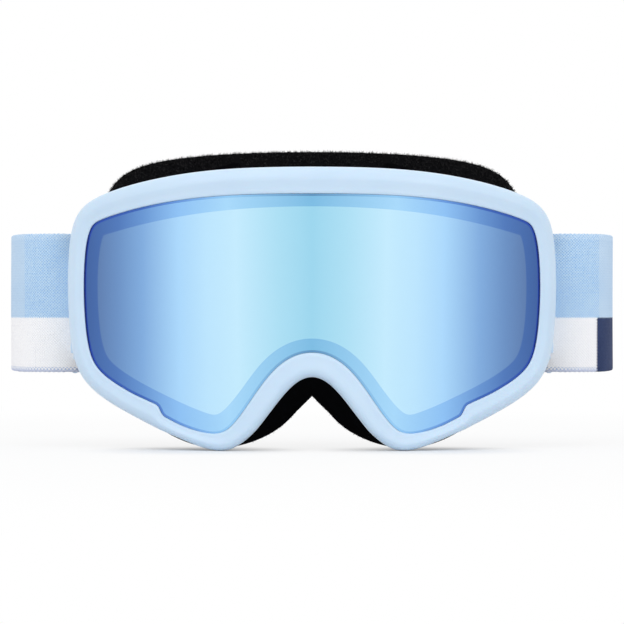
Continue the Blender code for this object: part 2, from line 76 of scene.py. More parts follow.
# One row for each control point of the outlines, in millimetres, from the middle of the top over
# the right side to the nose: the rim's x and z, the rim's width, the face foam's x and z, the
# skirt's depth, the face foam's width, the dark border's width, and then, as a share of the rim's
# width and not in millimetres, where its crest lies.
STATIONS = (
    (0.0, 98.0, 9.4, 0.0, 104.4, 24.0, 15.0, 4.0, 0.47),
    (31.5, 97.6, 9.3, 30.0, 103.9, 23.5, 15.0, 5.0, 0.47),
    (55.0, 94.5, 8.8, 54.0, 102.0, 22.5, 15.0, 5.9, 0.47),
    (74.5, 89.5, 8.6, 68.2, 98.0, 21.5, 14.0, 5.7, 0.46),
    (84.9, 83.3, 7.1, 75.7, 88.4, 21.0, 13.0, 5.0, 0.45),
    (86.9, 65.5, 6.4, 75.5, 68.0, 21.0, 13.0, 4.9, 0.44),
    (86.5, 43.5, 6.4, 74.5, 45.0, 21.0, 13.0, 4.9, 0.44),
    (83.8, 25.0, 6.8, 72.0, 25.0, 21.0, 13.0, 5.0, 0.44),
    (70.5, 15.3, 7.1, 63.0, 12.0, 20.5, 13.0, 4.7, 0.44),
    (51.0, 6.2, 6.9, 49.0, 3.0, 20.0, 13.0, 4.8, 0.42),
    (38.0, -0.3, 6.4, 36.0, -0.9, 19.5, 12.0, 6.2, 0.40),
    (28.0, -2.4, 6.6, 24.0, 0.8, 19.0, 12.0, 6.6, 0.38),
    (18.0, 8.0, 7.6, 14.0, 5.0, 18.5, 11.0, 4.6, 0.36),
    (8.0, 22.5, 8.4, 6.2, 11.2, 18.0, 12.0, 4.8, 0.33),
    (0.0, 27.0, 8.6, 0.0, 22.0, 18.0, 14.0, 5.1, 0.32),
)
MIDDLE_Z = 49 * MM            # parts the upper half of the outlines from the lower one
PER_SPAN = 20
FOOT_HEIGHT = 7 * MM          # the rim is eased below this, so that its feet stand on the floor
NOTCH_X = 55.2 * MM           # where the lens steps out over the lower rim
NOTCH_STEP = 1.9 * MM
NOTCH_LIP = 0.6 * MM

STRAP_THICKNESS = 1.6 * MM
LAYER_GAP = 0.4 * MM
BEND_RADIUS = 21 * MM
END_ANGLE = math.radians(32)
LOOP_RADIUS = 2.6 * MM
STRAP_LOW, STRAP_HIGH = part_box("strap_main")
STRAP_Z = (STRAP_LOW.z + STRAP_HIGH.z) / 2 + 0.2 * MM
STRAP_HEIGHT = STRAP_HIGH.z - STRAP_LOW.z + 0.2 * MM
STRAP_BOW = 1.8 * MM          # how far the woven strap bows out past the solid one
BEND_X = STRAP_HIGH.x + STRAP_BOW - STRAP_THICKNESS / 2 - BEND_RADIUS
STRAP_EDGE_X = STRAP_HIGH.x + STRAP_BOW
RUN_Y = STRAP_HIGH.y - STRAP_THICKNESS / 2
BEND_Y = RUN_Y - BEND_RADIUS
BAR_X = BEND_X - STRAP_BOW - 1.0 * MM
BAR_Y = BEND_Y - BEND_RADIUS + LOOP_RADIUS
RUN_LENGTH = BEND_X + BEND_RADIUS * (math.pi - END_ANGLE)
WHITE_SHARE = 0.39            # of the strap's height that is white, below the blue
STITCH = 1.05 * MM            # pitch of the knit
# How far before the strap's end the painted sheen round the bend stops.
SHEEN_STOP_BEFORE_END = BEND_RADIUS * (math.radians(46) - END_ANGLE)
NAVY_LENGTH = 46 * MM
NAVY_END = BEND_X + BEND_RADIUS * (math.pi - math.radians(43.5))
NAVY_START = NAVY_END - NAVY_LENGTH

SIDES = ((-1, "left"), (1, "right"))


# ---------------------------------------------------------------- outlines
def spline(rows, per_span=PER_SPAN):
    """Points of the closed cubic B-spline of rows of control values."""
    rows = np.array(rows, float)
    t = np.arange(per_span) / per_span
    weights = [(1 - t) ** 3, 3 * t**3 - 6 * t**2 + 4, -3 * t**3 + 3 * t**2 + 3 * t + 1, t**3]
    weights = np.array(weights) / 6
    turned = [np.roll(rows, shift, axis=0) for shift in (1, 0, -1, -2)]
    points = sum(w[None, :, None] * row[:, None, :] for w, row in zip(weights, turned))
    return points.reshape(-1, rows.shape[1])


def whole_table():
    right = [list(row) for row in STATIONS]
    left = [[-row[0], row[1], row[2], -row[3], *row[4:]] for row in right[-2:0:-1]]
    table = spline(right + left)
    table[:, :8] *= MM
    return table


def inset(outline, distance):
    """An outline moved inwards by one distance, or by one for each point."""
    run = np.roll(outline, -1, 0) - np.roll(outline, 1, 0)
    run /= np.linalg.norm(run, axis=1)[:, None]
    step = np.broadcast_to(distance, len(outline))[:, None]
    return outline + np.stack([run[:, 1], -run[:, 0]], 1) * step


def relaxed(outline, rounds):
    """An outline with its tight corners eased."""
    for _ in range(rounds):
        outline = (np.roll(outline, 1, 0) + outline * 2 + np.roll(outline, -1, 0)) / 4
    return outline


def smoothstep(low, high, value):
    t = np.clip((value - low) / (high - low), 0, 1)
    return t * t * (3 - 2 * t)


def eased(outline, rounds, weight):
    """An outline with its corners rounder where the weight of its points is 1."""
    return outline + (relaxed(outline, rounds) - outline) * weight[:, None]


def rounded(outline, reach):
    """An outline with its corners rounded over a real distance, however its points lie."""
    step = np.linalg.norm(np.roll(outline, -1, 0) - outline, axis=1)
    at = np.cumsum(step) - step
    apart = np.abs(at[:, None] - at[None, :])
    apart = np.minimum(apart, step.sum() - apart)
    share = np.exp(-(apart / reach) ** 2) * (step + np.roll(step, 1))[None, :]
    return share @ outline / share.sum(1)[:, None]


def lobe_weight(outline, top):
    """1 round the two lowest corners, beside the nose, and 0 elsewhere."""
    x = np.abs(outline[:, 0])
    across = smoothstep(19 * MM, 25 * MM, x) * smoothstep(46 * MM, 38 * MM, x)
    return across * smoothstep(top, top - 6 * MM, outline[:, 1])


def bow(x, depth):
    return LENS_RADIUS - np.sqrt((LENS_RADIUS - depth) ** 2 - x * x)


def upright(outline, y):
    """An outline's points in space, each at its own y."""
    return np.stack([outline[:, 0], y, outline[:, 1]], 1)


def placed(outline, depth):
    """An outline laid on the cylinder at a depth behind the rim's front."""
    return upright(outline, FRONT_Y + bow(outline[:, 0], depth))


def notched(width, outline):
    """The rim's width with the small step in its lower edge on each side."""
    x = np.abs(outline[:, 0])
    low = outline[:, 1] < 30 * MM
    step = smoothstep(NOTCH_X + 2.1 * MM, NOTCH_X - 2.1 * MM, x)
    fade_in = smoothstep(32 * MM, 50 * MM, x)
    fade_out = smoothstep(68 * MM, 55 * MM, x)
    return width + low * (NOTCH_LIP * (1 - step) * fade_out - NOTCH_STEP * step * fade_in)


TABLE = whole_table()
RIM = TABLE[:, 0:2]
RIM_WIDTH = notched(TABLE[:, 2], RIM)
LENS = inset(RIM, RIM_WIDTH)
LENS += (rounded(LENS, 4.2 * MM) - LENS) * lobe_weight(LENS, 16 * MM)[:, None]
EASY_LENS = relaxed(inset(RIM, TABLE[:, 2]), 8)   # the lens without its steps, for what lies behind it
BORDER = relaxed(inset(EASY_LENS, TABLE[:, 7]), 8)
BORDER = eased(BORDER, 46, smoothstep(58 * MM, 68 * MM, np.abs(BORDER[:, 0])))
BORDER += (rounded(BORDER, 6.0 * MM) - BORDER) * lobe_weight(BORDER, 26 * MM)[:, None]
CREST = TABLE[:, 8][:, None]
FACE = TABLE[:, 3:5]
NOSE_LINE = FACE[len(FACE) // 2, 1] - 1.0 * np.abs(FACE[:, 0])      # the nose notch comes to a point
AT_NOSE = smoothstep(10 * MM, 4 * MM, np.abs(FACE[:, 0])) * (FACE[:, 1] < 40 * MM)
FACE[:, 1] += (np.minimum(FACE[:, 1], NOSE_LINE) - FACE[:, 1]) * AT_NOSE
FACE_IN = relaxed(inset(FACE, TABLE[:, 6]), 12)
FACE_Y = FRONT_Y + bow(FACE[:, 0], SKIRT_START) + TABLE[:, 5]


# ---------------------------------------------------------------- meshes
def make_object(name, vertices, faces, finishes, face_finish=None, smooth_angle=40):
    """A named piece from points and faces, with its faces turned outwards."""
    mesh = bpy.data.meshes.new(name)
    mesh.from_pydata([tuple(v) for v in vertices], [], [tuple(int(i) for i in f) for f in faces])
    for finish in finishes:
        mesh.materials.append(finish)
    if face_finish is not None:
        mesh.polygons.foreach_set("material_index", np.array(face_finish, np.int32))
    shape = bmesh.new()
    shape.from_mesh(mesh)
    bmesh.ops.recalc_face_normals(shape, faces=shape.faces)
    shape.to_mesh(mesh)
    shape.free()
    mesh.shade_smooth()
    mesh.set_sharp_from_angle(angle=math.radians(smooth_angle))
    piece = bpy.data.objects.new(name, mesh)
    bpy.context.scene.collection.objects.link(piece)
    return piece


def tube_faces(sections, length, closed):
    """Quads of a loft whose section has this many rings, each of this many points."""
    i = np.arange(length if closed else length - 1)
    k = (i + 1) % length
    quads = []
    for j in range(sections):
        a = j * length
        b = (j + 1) % sections * length
        quads.append(np.stack([a + i, a + k, b + k, b + i], 1))
    return np.concatenate(quads)


def open_faces(sections, length):
    """Faces of an open loft: its walls, and then a cap at each of its two ends."""
    faces = [tuple(face) for face in tube_faces(sections, length, False)]
    faces.append([j * length for j in range(sections)])
    faces.append([j * length + length - 1 for j in reversed(range(sections))])
    return faces


def prism(name, outline, low, high, place, finish):
    """An outline carried straight from low to high; place() gives the points of its own frame."""
    count = len(outline)
    points = [place(a, b, level) for level in (low, high) for a, b in outline]
    faces = [list(range(count)), list(range(2 * count - 1, count - 1, -1))]
    faces += [(i, (i + 1) % count, count + (i + 1) % count, count + i) for i in range(count)]
    return make_object(name, points, faces, [finish])


def ring_piece(name, rings, finishes, face_finish=None, smooth_angle=40):
    """A closed ring whose section runs through the given rings of points."""
    faces = tube_faces(len(rings), len(rings[0]), True)
    return make_object(name, np.concatenate(rings), faces, finishes, face_finish, smooth_angle)


def roughened(points, amount, scale, seed=0.0):
    """Points moved by smooth noise, for soft surfaces that are never quite even."""
    moved = []
    for point in points:
        shift = noise.noise_vector(Vector(point) * scale + Vector((seed, seed, seed)))
        moved.append(Vector(point) + shift * amount)
    return np.array(moved)


def soft_section(share_low, share_high, step_low, step_high, count=28, squareness=5):
    """(share, step) points round a foam strip's section, a block with soft corners."""
    points = []
    for i in range(count):
        c = math.cos(2 * math.pi * i / count)
        s = math.sin(2 * math.pi * i / count)
        stretch = (abs(c) ** squareness + abs(s) ** squareness) ** (-1 / squareness)
        share = (share_low + share_high + (share_high - share_low) * c * stretch) / 2
        step = (step_low + step_high + (step_high - step_low) * s * stretch) / 2
        points.append((share, step))
    return points


def settle(piece):
    """Apply the piece's modifiers to its mesh."""
    evaluated = piece.evaluated_get(bpy.context.evaluated_depsgraph_get())
    mesh = bpy.data.meshes.new_from_object(evaluated)
    piece.modifiers.clear()
    piece.data = mesh
    return piece


def soften(piece, width, segments=3):
    """Round a piece's edges with a Bevel modifier."""
    bevel = piece.modifiers.new("soft_edges", "BEVEL")
    bevel.width = width
    bevel.segments = segments
    bevel.limit_method = "ANGLE"
    bevel.angle_limit = math.radians(40)
    bevel.use_clamp_overlap = True
    bevel.harden_normals = False


def finish_piece(piece, body, slot, *nodes):
    """Let a piece ride on a body and stand for CAD nodes, whose solids it hides; its slot is not used."""
    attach(piece, body)
    if nodes:
        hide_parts(*nodes)
    return piece


# ---------------------------------------------------------------- shader writing
class Wire:
    """A shader value that takes part in sums; each operator adds a Math node."""

    def __init__(self, finish, socket):
        self.finish = finish
        self.socket = socket

    def _sum(self, operation, *terms):
        return self.finish.add("ShaderNodeMath", {"operation": operation}, terms)

    def __add__(self, other):
        return self._sum("ADD", self, other)

    def __sub__(self, other):
        return self._sum("SUBTRACT", self, other)

    def __mul__(self, other):
        return self._sum("MULTIPLY", self, other)

    def __truediv__(self, other):
        return self._sum("DIVIDE", self, other)

    def __rsub__(self, other):
        return self._sum("SUBTRACT", other, self)

    def __gt__(self, other):
        return self._sum("GREATER_THAN", self, other)

    def __lt__(self, other):
        return self._sum("LESS_THAN", self, other)

    def __abs__(self):
        return self._sum("ABSOLUTE", self)

    def sine(self):
        return self._sum("SINE", self)

    def at_least(self, other):
        return self._sum("MAXIMUM", self, other)

    __radd__ = __add__
    __rmul__ = __mul__


class Finish:
    """A material whose Principled shader takes fixed values and values that vary."""

    def __init__(self, name, **fixed):
        self.material = bpy.data.materials.new(name)
        self.material.use_nodes = True
        self.nodes = self.material.node_tree.nodes
        self.links = self.material.node_tree.links
        self.shader = self.nodes["Principled BSDF"]
        for key, value in fixed.items():
            socket = self.shader.inputs[key.replace("_", " ").title().replace("Ior", "IOR")]
            socket.default_value = (*value, 1) if isinstance(value, tuple) else value

    def add(self, kind, settings=None, inputs=(), output=0):
        """Any node: its settings first, then its sockets' values or links."""
        node = self.nodes.new(kind)
        for key, value in (settings or {}).items():
            if key == "stops":
                self.set_stops(node.color_ramp, value)
            else:
                setattr(node, key, value)
        pairs = inputs.items() if isinstance(inputs, dict) else enumerate(inputs)
        for key, value in pairs:
            if isinstance(value, Wire):
                self.links.new(value.socket, node.inputs[key])
            elif value is not None:
                node.inputs[key].default_value = value
        return Wire(self, node.outputs[output])

    @staticmethod
    def set_stops(ramp, stops):
        while len(ramp.elements) < len(stops):
            ramp.elements.new(1.0)
        for element, (place, colour) in zip(ramp.elements, stops):
            element.position = place
            element.color = (*colour, 1)

    def ramp(self, value, stops):
        return self.add("ShaderNodeValToRGB", {"stops": stops}, [value])

    def mix(self, factor, a, b):
        colours = [(*c, 1) if isinstance(c, tuple) else c for c in (a, b)]
        made = {0: factor, 6: colours[0], 7: colours[1]}
        return self.add("ShaderNodeMix", {"data_type": "RGBA"}, made, output=2)

    def place(self, axis=None):
        """The place on the object in metres, or one axis of it."""
        point = self.add("ShaderNodeTexCoord", output="Object")
        if axis is None:
            return point
        return self.add("ShaderNodeSeparateXYZ", None, [point], output=axis)

    def weave_place(self, axis):
        """Metres along (0) or up (1) a strap, from its UV map."""
        chart = self.add("ShaderNodeTexCoord", output="UV")
        return self.add("ShaderNodeSeparateXYZ", None, [chart], output=axis)

    def noise(self, scale, detail=3.0, roughness=0.5, at=None):
        made = {"Vector": at or self.place(), "Scale": scale, "Detail": detail, "Roughness": roughness}
        return self.add("ShaderNodeTexNoise", None, made)

    def cells(self, scale, feature="F1", at=None):
        made = {"Vector": at or self.place(), "Scale": scale}
        return self.add("ShaderNodeTexVoronoi", {"feature": feature}, made)

    def set(self, socket, wire):
        self.links.new(wire.socket, self.shader.inputs[socket])
        return self

    def fade(self, value, start, end, low, high):
        """A value that runs smoothly from low to high as another runs from start to end."""
        made = {"Value": value, "From Min": start, "From Max": end, "To Min": low, "To Max": high}
        return self.add("ShaderNodeMapRange", {"interpolation_type": "SMOOTHSTEP"}, made)

    def relief(self, height, distance, strength=1.0):
        """Bump the surface by a height from 0 to 1 over a distance in metres."""
        made = {"Height": height, "Distance": distance, "Strength": strength}
        return self.set("Normal", self.add("ShaderNodeBump", None, made))


def srgb(red, green, blue):
    """A linear colour from its 0 to 255 display values."""
    parts = [value / 255 for value in (red, green, blue)]
    return tuple(p / 12.92 if p <= 0.04045 else ((p + 0.055) / 1.055) ** 2.4 for p in parts)


# ---------------------------------------------------------------- finishes
def soft_rim_plastic():
    finish = Finish("soft_rim_plastic", specular_ior_level=0.45, subsurface_weight=0.06,
                    subsurface_scale=0.002, coat_weight=0.08, coat_roughness=0.3)
    cloud = finish.noise(55, 2.0)
    finish.set("Base Color", finish.mix(cloud, srgb(197, 221, 243), srgb(206, 228, 247)))
    grain = finish.noise(2600, 2.0)
    finish.set("Roughness", finish.noise(160, 3.0) * 0.12 + 0.36)
    finish.relief(grain, 0.00004, 0.35)
    return finish.material


# The mirror coat's colours from the lens's middle (0) to its sides (1): the coat's hue drift together with
# painted reflections, a pale streak of the lamps near 0.32 and darker sides where darker surroundings would
# be reflected.
LENS_COAT_AND_REFLECTION_COLOURS = (
    (0.00, srgb(156, 214, 238)),
    (0.14, srgb(172, 223, 244)),
    (0.32, srgb(196, 235, 254)),
    (0.45, srgb(188, 229, 254)),
    (0.57, srgb(171, 216, 252)),
    (0.73, srgb(128, 172, 222)),
    (0.84, srgb(106, 145, 197)),
    (0.93, srgb(92, 125, 176)),
    (1.00, srgb(76, 106, 160)),
)
# The border band's colours: painted shade, darker where the gasket behind the lens keeps back the light
# that shines through, with the same painted reflection of the lamps near 0.36 as the middle.
BORDER_COAT_AND_REFLECTION_COLOURS = (
    (0.00, srgb(124, 188, 227)),
    (0.36, srgb(168, 217, 251)),
    (0.57, srgb(142, 194, 245)),
    (0.73, srgb(102, 149, 211)),
    (0.84, srgb(78, 120, 187)),
    (1.00, srgb(56, 93, 158)),
)

# Painted shade along the lens's outer edge, where it meets the rim: the edge strip's colours, darker than
# the border's, with a painted reflection of the lamps near 0.36 as well.
EDGE_SHADE_COLOURS = (
    (0.00, srgb(96, 150, 192)),
    (0.36, srgb(150, 204, 246)),
    (0.57, srgb(104, 154, 222)),
    (0.73, srgb(62, 104, 186)),
    (1.00, srgb(30, 66, 166)),
)


def mirror(name, stops):
    """The lens's mirror coat, whose hue drifts from its middle to its sides; its stops also hold painted
    reflections, and on the edge strip painted shade.
    """
    finish = Finish(name, metallic=0.75, coat_weight=0.1, coat_roughness=0.03)
    half = LENS[:, 0].max()
    drift = finish.noise(9, 1.5) * 0.05 - 0.025
    across = abs(finish.place("X")) / half + drift
    finish.set("Base Color", finish.ramp(across, stops))
    finish.set("Roughness", finish.noise(30, 2.0) * 0.04 + 0.06)
    return finish.material


def lens_back_tint():
    finish = Finish("lens_back_tint", base_color=srgb(92, 74, 70), roughness=0.05)
    finish.set("Alpha", finish.noise(12, 1.0) * 0.06 + 0.5)
    return finish.material


def inner_lens_tint():
    finish = Finish("inner_lens_tint", base_color=srgb(70, 62, 66), roughness=0.04, coat_weight=0.5)
    finish.set("Alpha", finish.noise(14, 1.0) * 0.05 + 0.34)
    return finish.material


def cell_foam(name, dark, light, scale, depth):
    """Open-celled foam: paler walls, with painted shade in the hollow pores between them."""
    finish = Finish(name, roughness=1.0, specular_ior_level=0.0)
    pores = finish.cells(scale, "DISTANCE_TO_EDGE")
    # Painted shade: the cells' hollow middles are darker than their walls.
    walls = finish.ramp(pores, ((0.0, light), (0.12, light), (0.3, dark)))
    finish.set("Base Color", walls)
    height = finish.ramp(pores, ((0.0, (1, 1, 1)), (0.25, (0, 0, 0))))
    finish.relief(height, depth, 0.9)
    return finish.material


def fleece_pile():
    finish = Finish("fleece_pile", roughness=1.0, specular_ior_level=0.0)
    tufts = finish.noise(900, 4.0, 0.7)
    stops = ((0.4, (0.001, 0.001, 0.0012)), (0.70, (0.070, 0.068, 0.070)))
    finish.set("Base Color", finish.ramp(tufts, stops))
    finish.relief(tufts, 0.0006, 1.0)
    return finish.material


def black_rubber():
    finish = Finish("black_rubber", specular_ior_level=0.015)
    patch = finish.noise(70, 3.0)
    finish.set("Base Color", finish.mix(patch, (0.002, 0.002, 0.0025), (0.005, 0.005, 0.006)))
    finish.set("Roughness", patch * 0.15 + 0.75)
    finish.relief(finish.noise(1800, 2.0), 0.00006, 0.4)
    return finish.material


def moulded_plastic():
    finish = Finish("moulded_plastic", specular_ior_level=0.45)
    grain = finish.noise(1500, 3.0)
    patch = finish.noise(90, 2.0)
    finish.set("Base Color", finish.mix(patch, srgb(36, 42, 58), srgb(46, 53, 71)))
    finish.set("Roughness", grain * 0.15 + 0.36)
    finish.relief(grain, 0.00005, 0.5)
    return finish.material


def turned_steel():
    finish = Finish("turned_steel", base_color=(0.62, 0.63, 0.65), metallic=1.0)
    turns = (finish.place("Z") * 14000).sine() * 0.5 + 0.5
    finish.set("Roughness", turns * 0.12 + 0.22)
    finish.relief(turns, 0.00002, 0.4)
    return finish.material


def silicone():
    finish = Finish("silicone", roughness=0.28, subsurface_weight=0.3, subsurface_scale=0.001)
    cloud = finish.noise(300, 2.0)
    finish.set("Base Color", finish.mix(cloud, srgb(206, 216, 230), srgb(222, 230, 240)))
    finish.relief(finish.noise(900, 2.0), 0.00005, 0.4)
    return finish.material


def filter_membrane():
    finish = Finish("filter_membrane", roughness=0.85)
    finish.set("Base Color", finish.mix(finish.cells(4000), srgb(176, 178, 182), srgb(214, 216, 220)))
    finish.relief(finish.noise(3500, 2.0), 0.00005, 0.8)
    return finish.material


def knit_relief(finish, along, up):
    """The knit's crossed diagonals, from 0 in the holes to 1 on the threads."""
    turn = 2 * math.pi / STITCH
    wobble = finish.noise(700, 2.0) * 0.9
    falling = ((along + up) * turn + wobble).sine()
    rising = ((along - up) * turn + wobble).sine()
    return falling.at_least(rising * 0.8) * 0.5 + 0.5


BLUE_YARN = ((0.15, srgb(128, 177, 230)), (0.5, srgb(175, 209, 242)), (0.85, srgb(210, 233, 251)))
WHITE_YARN = ((0.1, srgb(232, 231, 240)), (0.45, srgb(251, 251, 254)), (0.8, srgb(255, 255, 255)))
NAVY_YARN = ((0.1, srgb(12, 24, 60)), (0.5, srgb(36, 50, 88)), (0.95, srgb(72, 88, 128)))
# Colours of the painted sheen round the strap's bends.
BEND_SHEEN_COLOURS = ((0.1, srgb(184, 212, 240)), (0.6, srgb(208, 228, 247)))


def strap_knit():
    """Light blue over white, with a navy block round the right bend and looped edges."""
    finish = Finish("strap_knit", sheen_weight=0.08, sheen_roughness=0.45, specular_ior_level=0.12)
    along = finish.weave_place(0)
    up = finish.weave_place(1)
    threads = knit_relief(finish, along, up)
    flecks = finish.noise(1500, 3.0, 0.65)
    patches = finish.noise(60, 2.0)
    tone = threads * 0.62 + flecks * 0.75 + patches * 0.25 - 0.36
    blue = finish.ramp(tone, BLUE_YARN)
    white = finish.ramp(tone, WHITE_YARN)
    navy = finish.ramp(tone, NAVY_YARN)
    # Painted sheen round the bends: there the blue gives way to paler colours with fine ribs, where the
    # strap turns away from the front and catches grazing light; it stops short of the strap's ends.
    ribs = (up * (2 * math.pi / (0.9 * MM))).sine() * 0.05
    before_end = abs(along) < RUN_LENGTH - SHEEN_STOP_BEFORE_END
    bend_sheen = before_end * finish.fade(abs(along), BEND_X, RUN_LENGTH * 0.72, 0, 1)
    pale = finish.ramp(ribs + patches * 0.4 + threads * 0.15, BEND_SHEEN_COLOURS)
    blue = finish.mix(bend_sheen * 0.85, blue, pale)
    teeth = ((along * (math.pi / (0.4 * MM))).sine() > 0) * (0.35 * MM)
    is_white = up < teeth + STRAP_HEIGHT * WHITE_SHARE
    steps = ((up * (math.pi / (0.55 * MM))).sine() > 0) * (0.5 * MM)
    block = (along > steps + NAVY_START) * (along < steps + NAVY_END)
    lower = finish.mix(block, white, navy)
    colour = finish.mix(is_white, blue, lower)
    dots_along = (along * (2 * math.pi / (1.3 * MM))).sine()
    dots = dots_along * (up * (2 * math.pi / (1.5 * MM))).sine() > 0.12
    near_top = up > STRAP_HEIGHT - 2.1 * MM
    not_block = 1 - (block > 0.5)
    near_low = (up < 1.9 * MM) * not_block
    colour = finish.mix(dots * near_top * 0.8, colour, srgb(206, 227, 248))
    colour = finish.mix(dots * near_low * 0.8, colour, srgb(160, 184, 222))
    hem = (up < 0.9 * MM) * not_block
    finish.set("Base Color", finish.mix(hem * 0.8, colour, srgb(202, 209, 233)))
    finish.set("Roughness", threads * -0.12 + 0.92)
    finish.relief(threads * 0.7 + flecks * 0.5, 0.0002, 0.7)
    return finish.material


def strap_lining():
    """The strap's plainer inner face."""
    finish = Finish("strap_lining", roughness=0.92, sheen_weight=0.3, specular_ior_level=0.1)
    along = finish.weave_place(0)
    up = finish.weave_place(1)
    threads = knit_relief(finish, along, up)
    ribs = (up * (2 * math.pi / (1.25 * MM))).sine() * 0.5 + 0.5
    tone = threads * 0.4 + ribs * 0.3 + finish.noise(1100, 3.0) * 0.4
    finish.set("Base Color", finish.ramp(tone, ((0.2, srgb(176, 190, 212)), (0.8, srgb(216, 224, 237)))))
    finish.relief(threads * 0.5 + ribs * 0.6, 0.00025, 0.8)
    return finish.material


def sewing_thread():
    finish = Finish("sewing_thread", roughness=0.7, sheen_weight=0.2)
    twist = finish.noise(5000, 2.0)
    finish.set("Base Color", finish.mix(twist, srgb(206, 220, 240), srgb(236, 242, 250)))
    finish.relief(twist, 0.00005, 0.8)
    return finish.material


RIM_PLASTIC = soft_rim_plastic()
MIRROR = mirror("mirror_coat_painted_reflections", LENS_COAT_AND_REFLECTION_COLOURS)
BORDER_MIRROR = mirror("mirror_border_painted_reflections", BORDER_COAT_AND_REFLECTION_COLOURS)
EDGE_SHADE_MIRROR = mirror("mirror_edge_painted_shade", EDGE_SHADE_COLOURS)
BACK_TINT = lens_back_tint()
INNER_TINT = inner_lens_tint()
SPACER_FOAM = cell_foam("spacer_foam", srgb(24, 40, 84), srgb(44, 70, 130), 1400, 0.0003)
BASE_FOAM = cell_foam("base_foam", (0.001, 0.001, 0.0012), (0.008, 0.008, 0.009), 1500, 0.0004)
MID_FOAM = cell_foam("mid_foam", (0.001, 0.001, 0.0012), (0.010, 0.010, 0.011), 1100, 0.0005)
VENT_FOAM = cell_foam("vent_foam", (0.003, 0.003, 0.003), (0.03, 0.03, 0.033), 700, 0.0008)
PILE = fleece_pile()
RUBBER = black_rubber()
PLASTIC = moulded_plastic()
STEEL = turned_steel()
SILICONE = silicone()
MEMBRANE = filter_membrane()
KNIT = strap_knit()
LINING = strap_lining()
THREAD = sewing_thread()


# ---------------------------------------------------------------- rim and lens
# (share of the way across, depth in millimetres) over the rim's front: from its outside to the crest,
# and from the crest to the lens
BEFORE_CREST = (
    (0.0, 4.2), (0.04, 2.9), (0.14, 1.75), (0.32, 0.85), (0.58, 0.32), (0.86, 0.06), (1.0, 0.0),
)
AFTER_CREST = ((0.12, 0.08), (0.40, 0.42), (0.64, 0.68), (0.76, 0.70), (0.90, 0.80), (0.97, 1.0))


def make_rim():
    """The soft rim: rounded outside, a crest along its front, and a bevel down to the lens."""
    squeeze = FOOT_HEIGHT / (FOOT_HEIGHT - RIM[:, 1].min())
    rebate = inset(LENS, -LENS_SLIT)
    shelf = inset(EASY_LENS, SHELF_WIDTH)

    def across(share, depth):
        return placed(RIM + (rebate - RIM) * share, depth)

    rings = [across(0, FRAME_BACK - 2.2 * MM), across(0, 6 * MM)]
    rings += [across(CREST * share, depth * MM) for share, depth in BEFORE_CREST]
    rings += [across(CREST + (1 - CREST) * share, depth * MM) for share, depth in AFTER_CREST]
    rings += [across(1, depth) for depth in (1.25 * MM, 2.2 * MM, SHELF_FRONT)]
    rings += [placed(shelf, SHELF_FRONT), placed(shelf, FRAME_BACK - 0.6 * MM)]
    rings.append(placed(inset(shelf, -0.6 * MM), FRAME_BACK))
    rings.append(placed((shelf + RIM) / 2, FRAME_BACK))
    rings += [placed(inset(RIM, step * MM), FRAME_BACK - depth * MM)
              for step, depth in ((2.4, 0.0), (0.9, 0.45), (0.2, 1.2))]
    for one in rings:
        eased_z = FOOT_HEIGHT - (FOOT_HEIGHT - one[:, 2]) * squeeze
        one[:, 2] = np.where(one[:, 2] < FOOT_HEIGHT, eased_z, one[:, 2])
    rim = ring_piece("rim", rings, [RIM_PLASTIC], smooth_angle=50)
    finish_piece(rim, "frame", "frame", "front_frame")


KNUCKLE_HALF = 13.5 * MM      # half the height of the clip's knuckle, which sits between the lugs
LUG_GAP = 0.3 * MM
LUG_HEIGHT = 4.0 * MM
LUG_HALF_WIDTH = 2.1 * MM
LUG_REACH = 8 * MM            # from the pin forward into the rim


def pin_centre(word):
    low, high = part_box(word + "_hinge_pin")
    return (low + high) / 2


def make_lugs():
    """The two lugs on each side that hold the strap connector's pin."""
    for side, word in SIDES:
        pin = pin_centre(word)
        half = LUG_HALF_WIDTH
        arc = [math.pi * i / 12 for i in range(13)]
        outline = [(pin.x - half, pin.y - LUG_REACH), (pin.x + half, pin.y - LUG_REACH)]
        outline += [(pin.x + half * math.cos(a), pin.y + half * math.sin(a)) for a in arc]
        for level, level_word in ((-1, "lower"), (1, "upper")):
            inner = pin.z + level * (KNUCKLE_HALF + LUG_GAP)
            outer = inner + level * LUG_HEIGHT
            low, high = min(inner, outer), max(inner, outer)
            name = f"{word}_{level_word}_lug"
            lug = prism(name, outline, low, high, lambda x, y, z: (x, y, z), RIM_PLASTIC)
            soften(lug, 0.5 * MM)
            settle(lug)
            finish_piece(lug, "frame", "frame")


def flat_pane(outline, border):
    """A flat pane in x and z: an edge strip, a border, and the middle cut into a fine grid."""
    shape = bmesh.new()
    count = len(outline)
    # The outer strip takes the pane's third finish, which on the mirrored lens is painted shade where the
    # lens meets the rim.
    edge = inset(outline, 0.8 * MM)
    rows = [outline, edge, (edge + border) / 2, border]
    grid = [[shape.verts.new((x, 0, z)) for x, z in row] for row in rows]
    for kind, near, far in zip((2, 1, 1), grid, grid[1:]):
        for i in range(count):
            k = (i + 1) % count
            strip = shape.faces.new((near[i], near[k], far[k], far[i]))
            strip.material_index = kind
    shape.faces.new(grid[-1])
    shape.faces.ensure_lookup_table()
    reach = outline[:, 0].max()
    for x in np.linspace(-reach, reach, 97)[1:-1]:
        cut_middle(shape, (x, 0, 0), (1, 0, 0))
    for z in np.linspace(outline[:, 1].min(), outline[:, 1].max(), 9)[1:-1]:
        cut_middle(shape, (0, 0, z), (0, 0, 1))
    shape.verts.index_update()
    points = np.array([v.co for v in shape.verts])
    faces = [[v.index for v in face.verts] for face in shape.faces]
    kinds = [face.material_index for face in shape.faces]
    shape.free()
    return points, faces, kinds


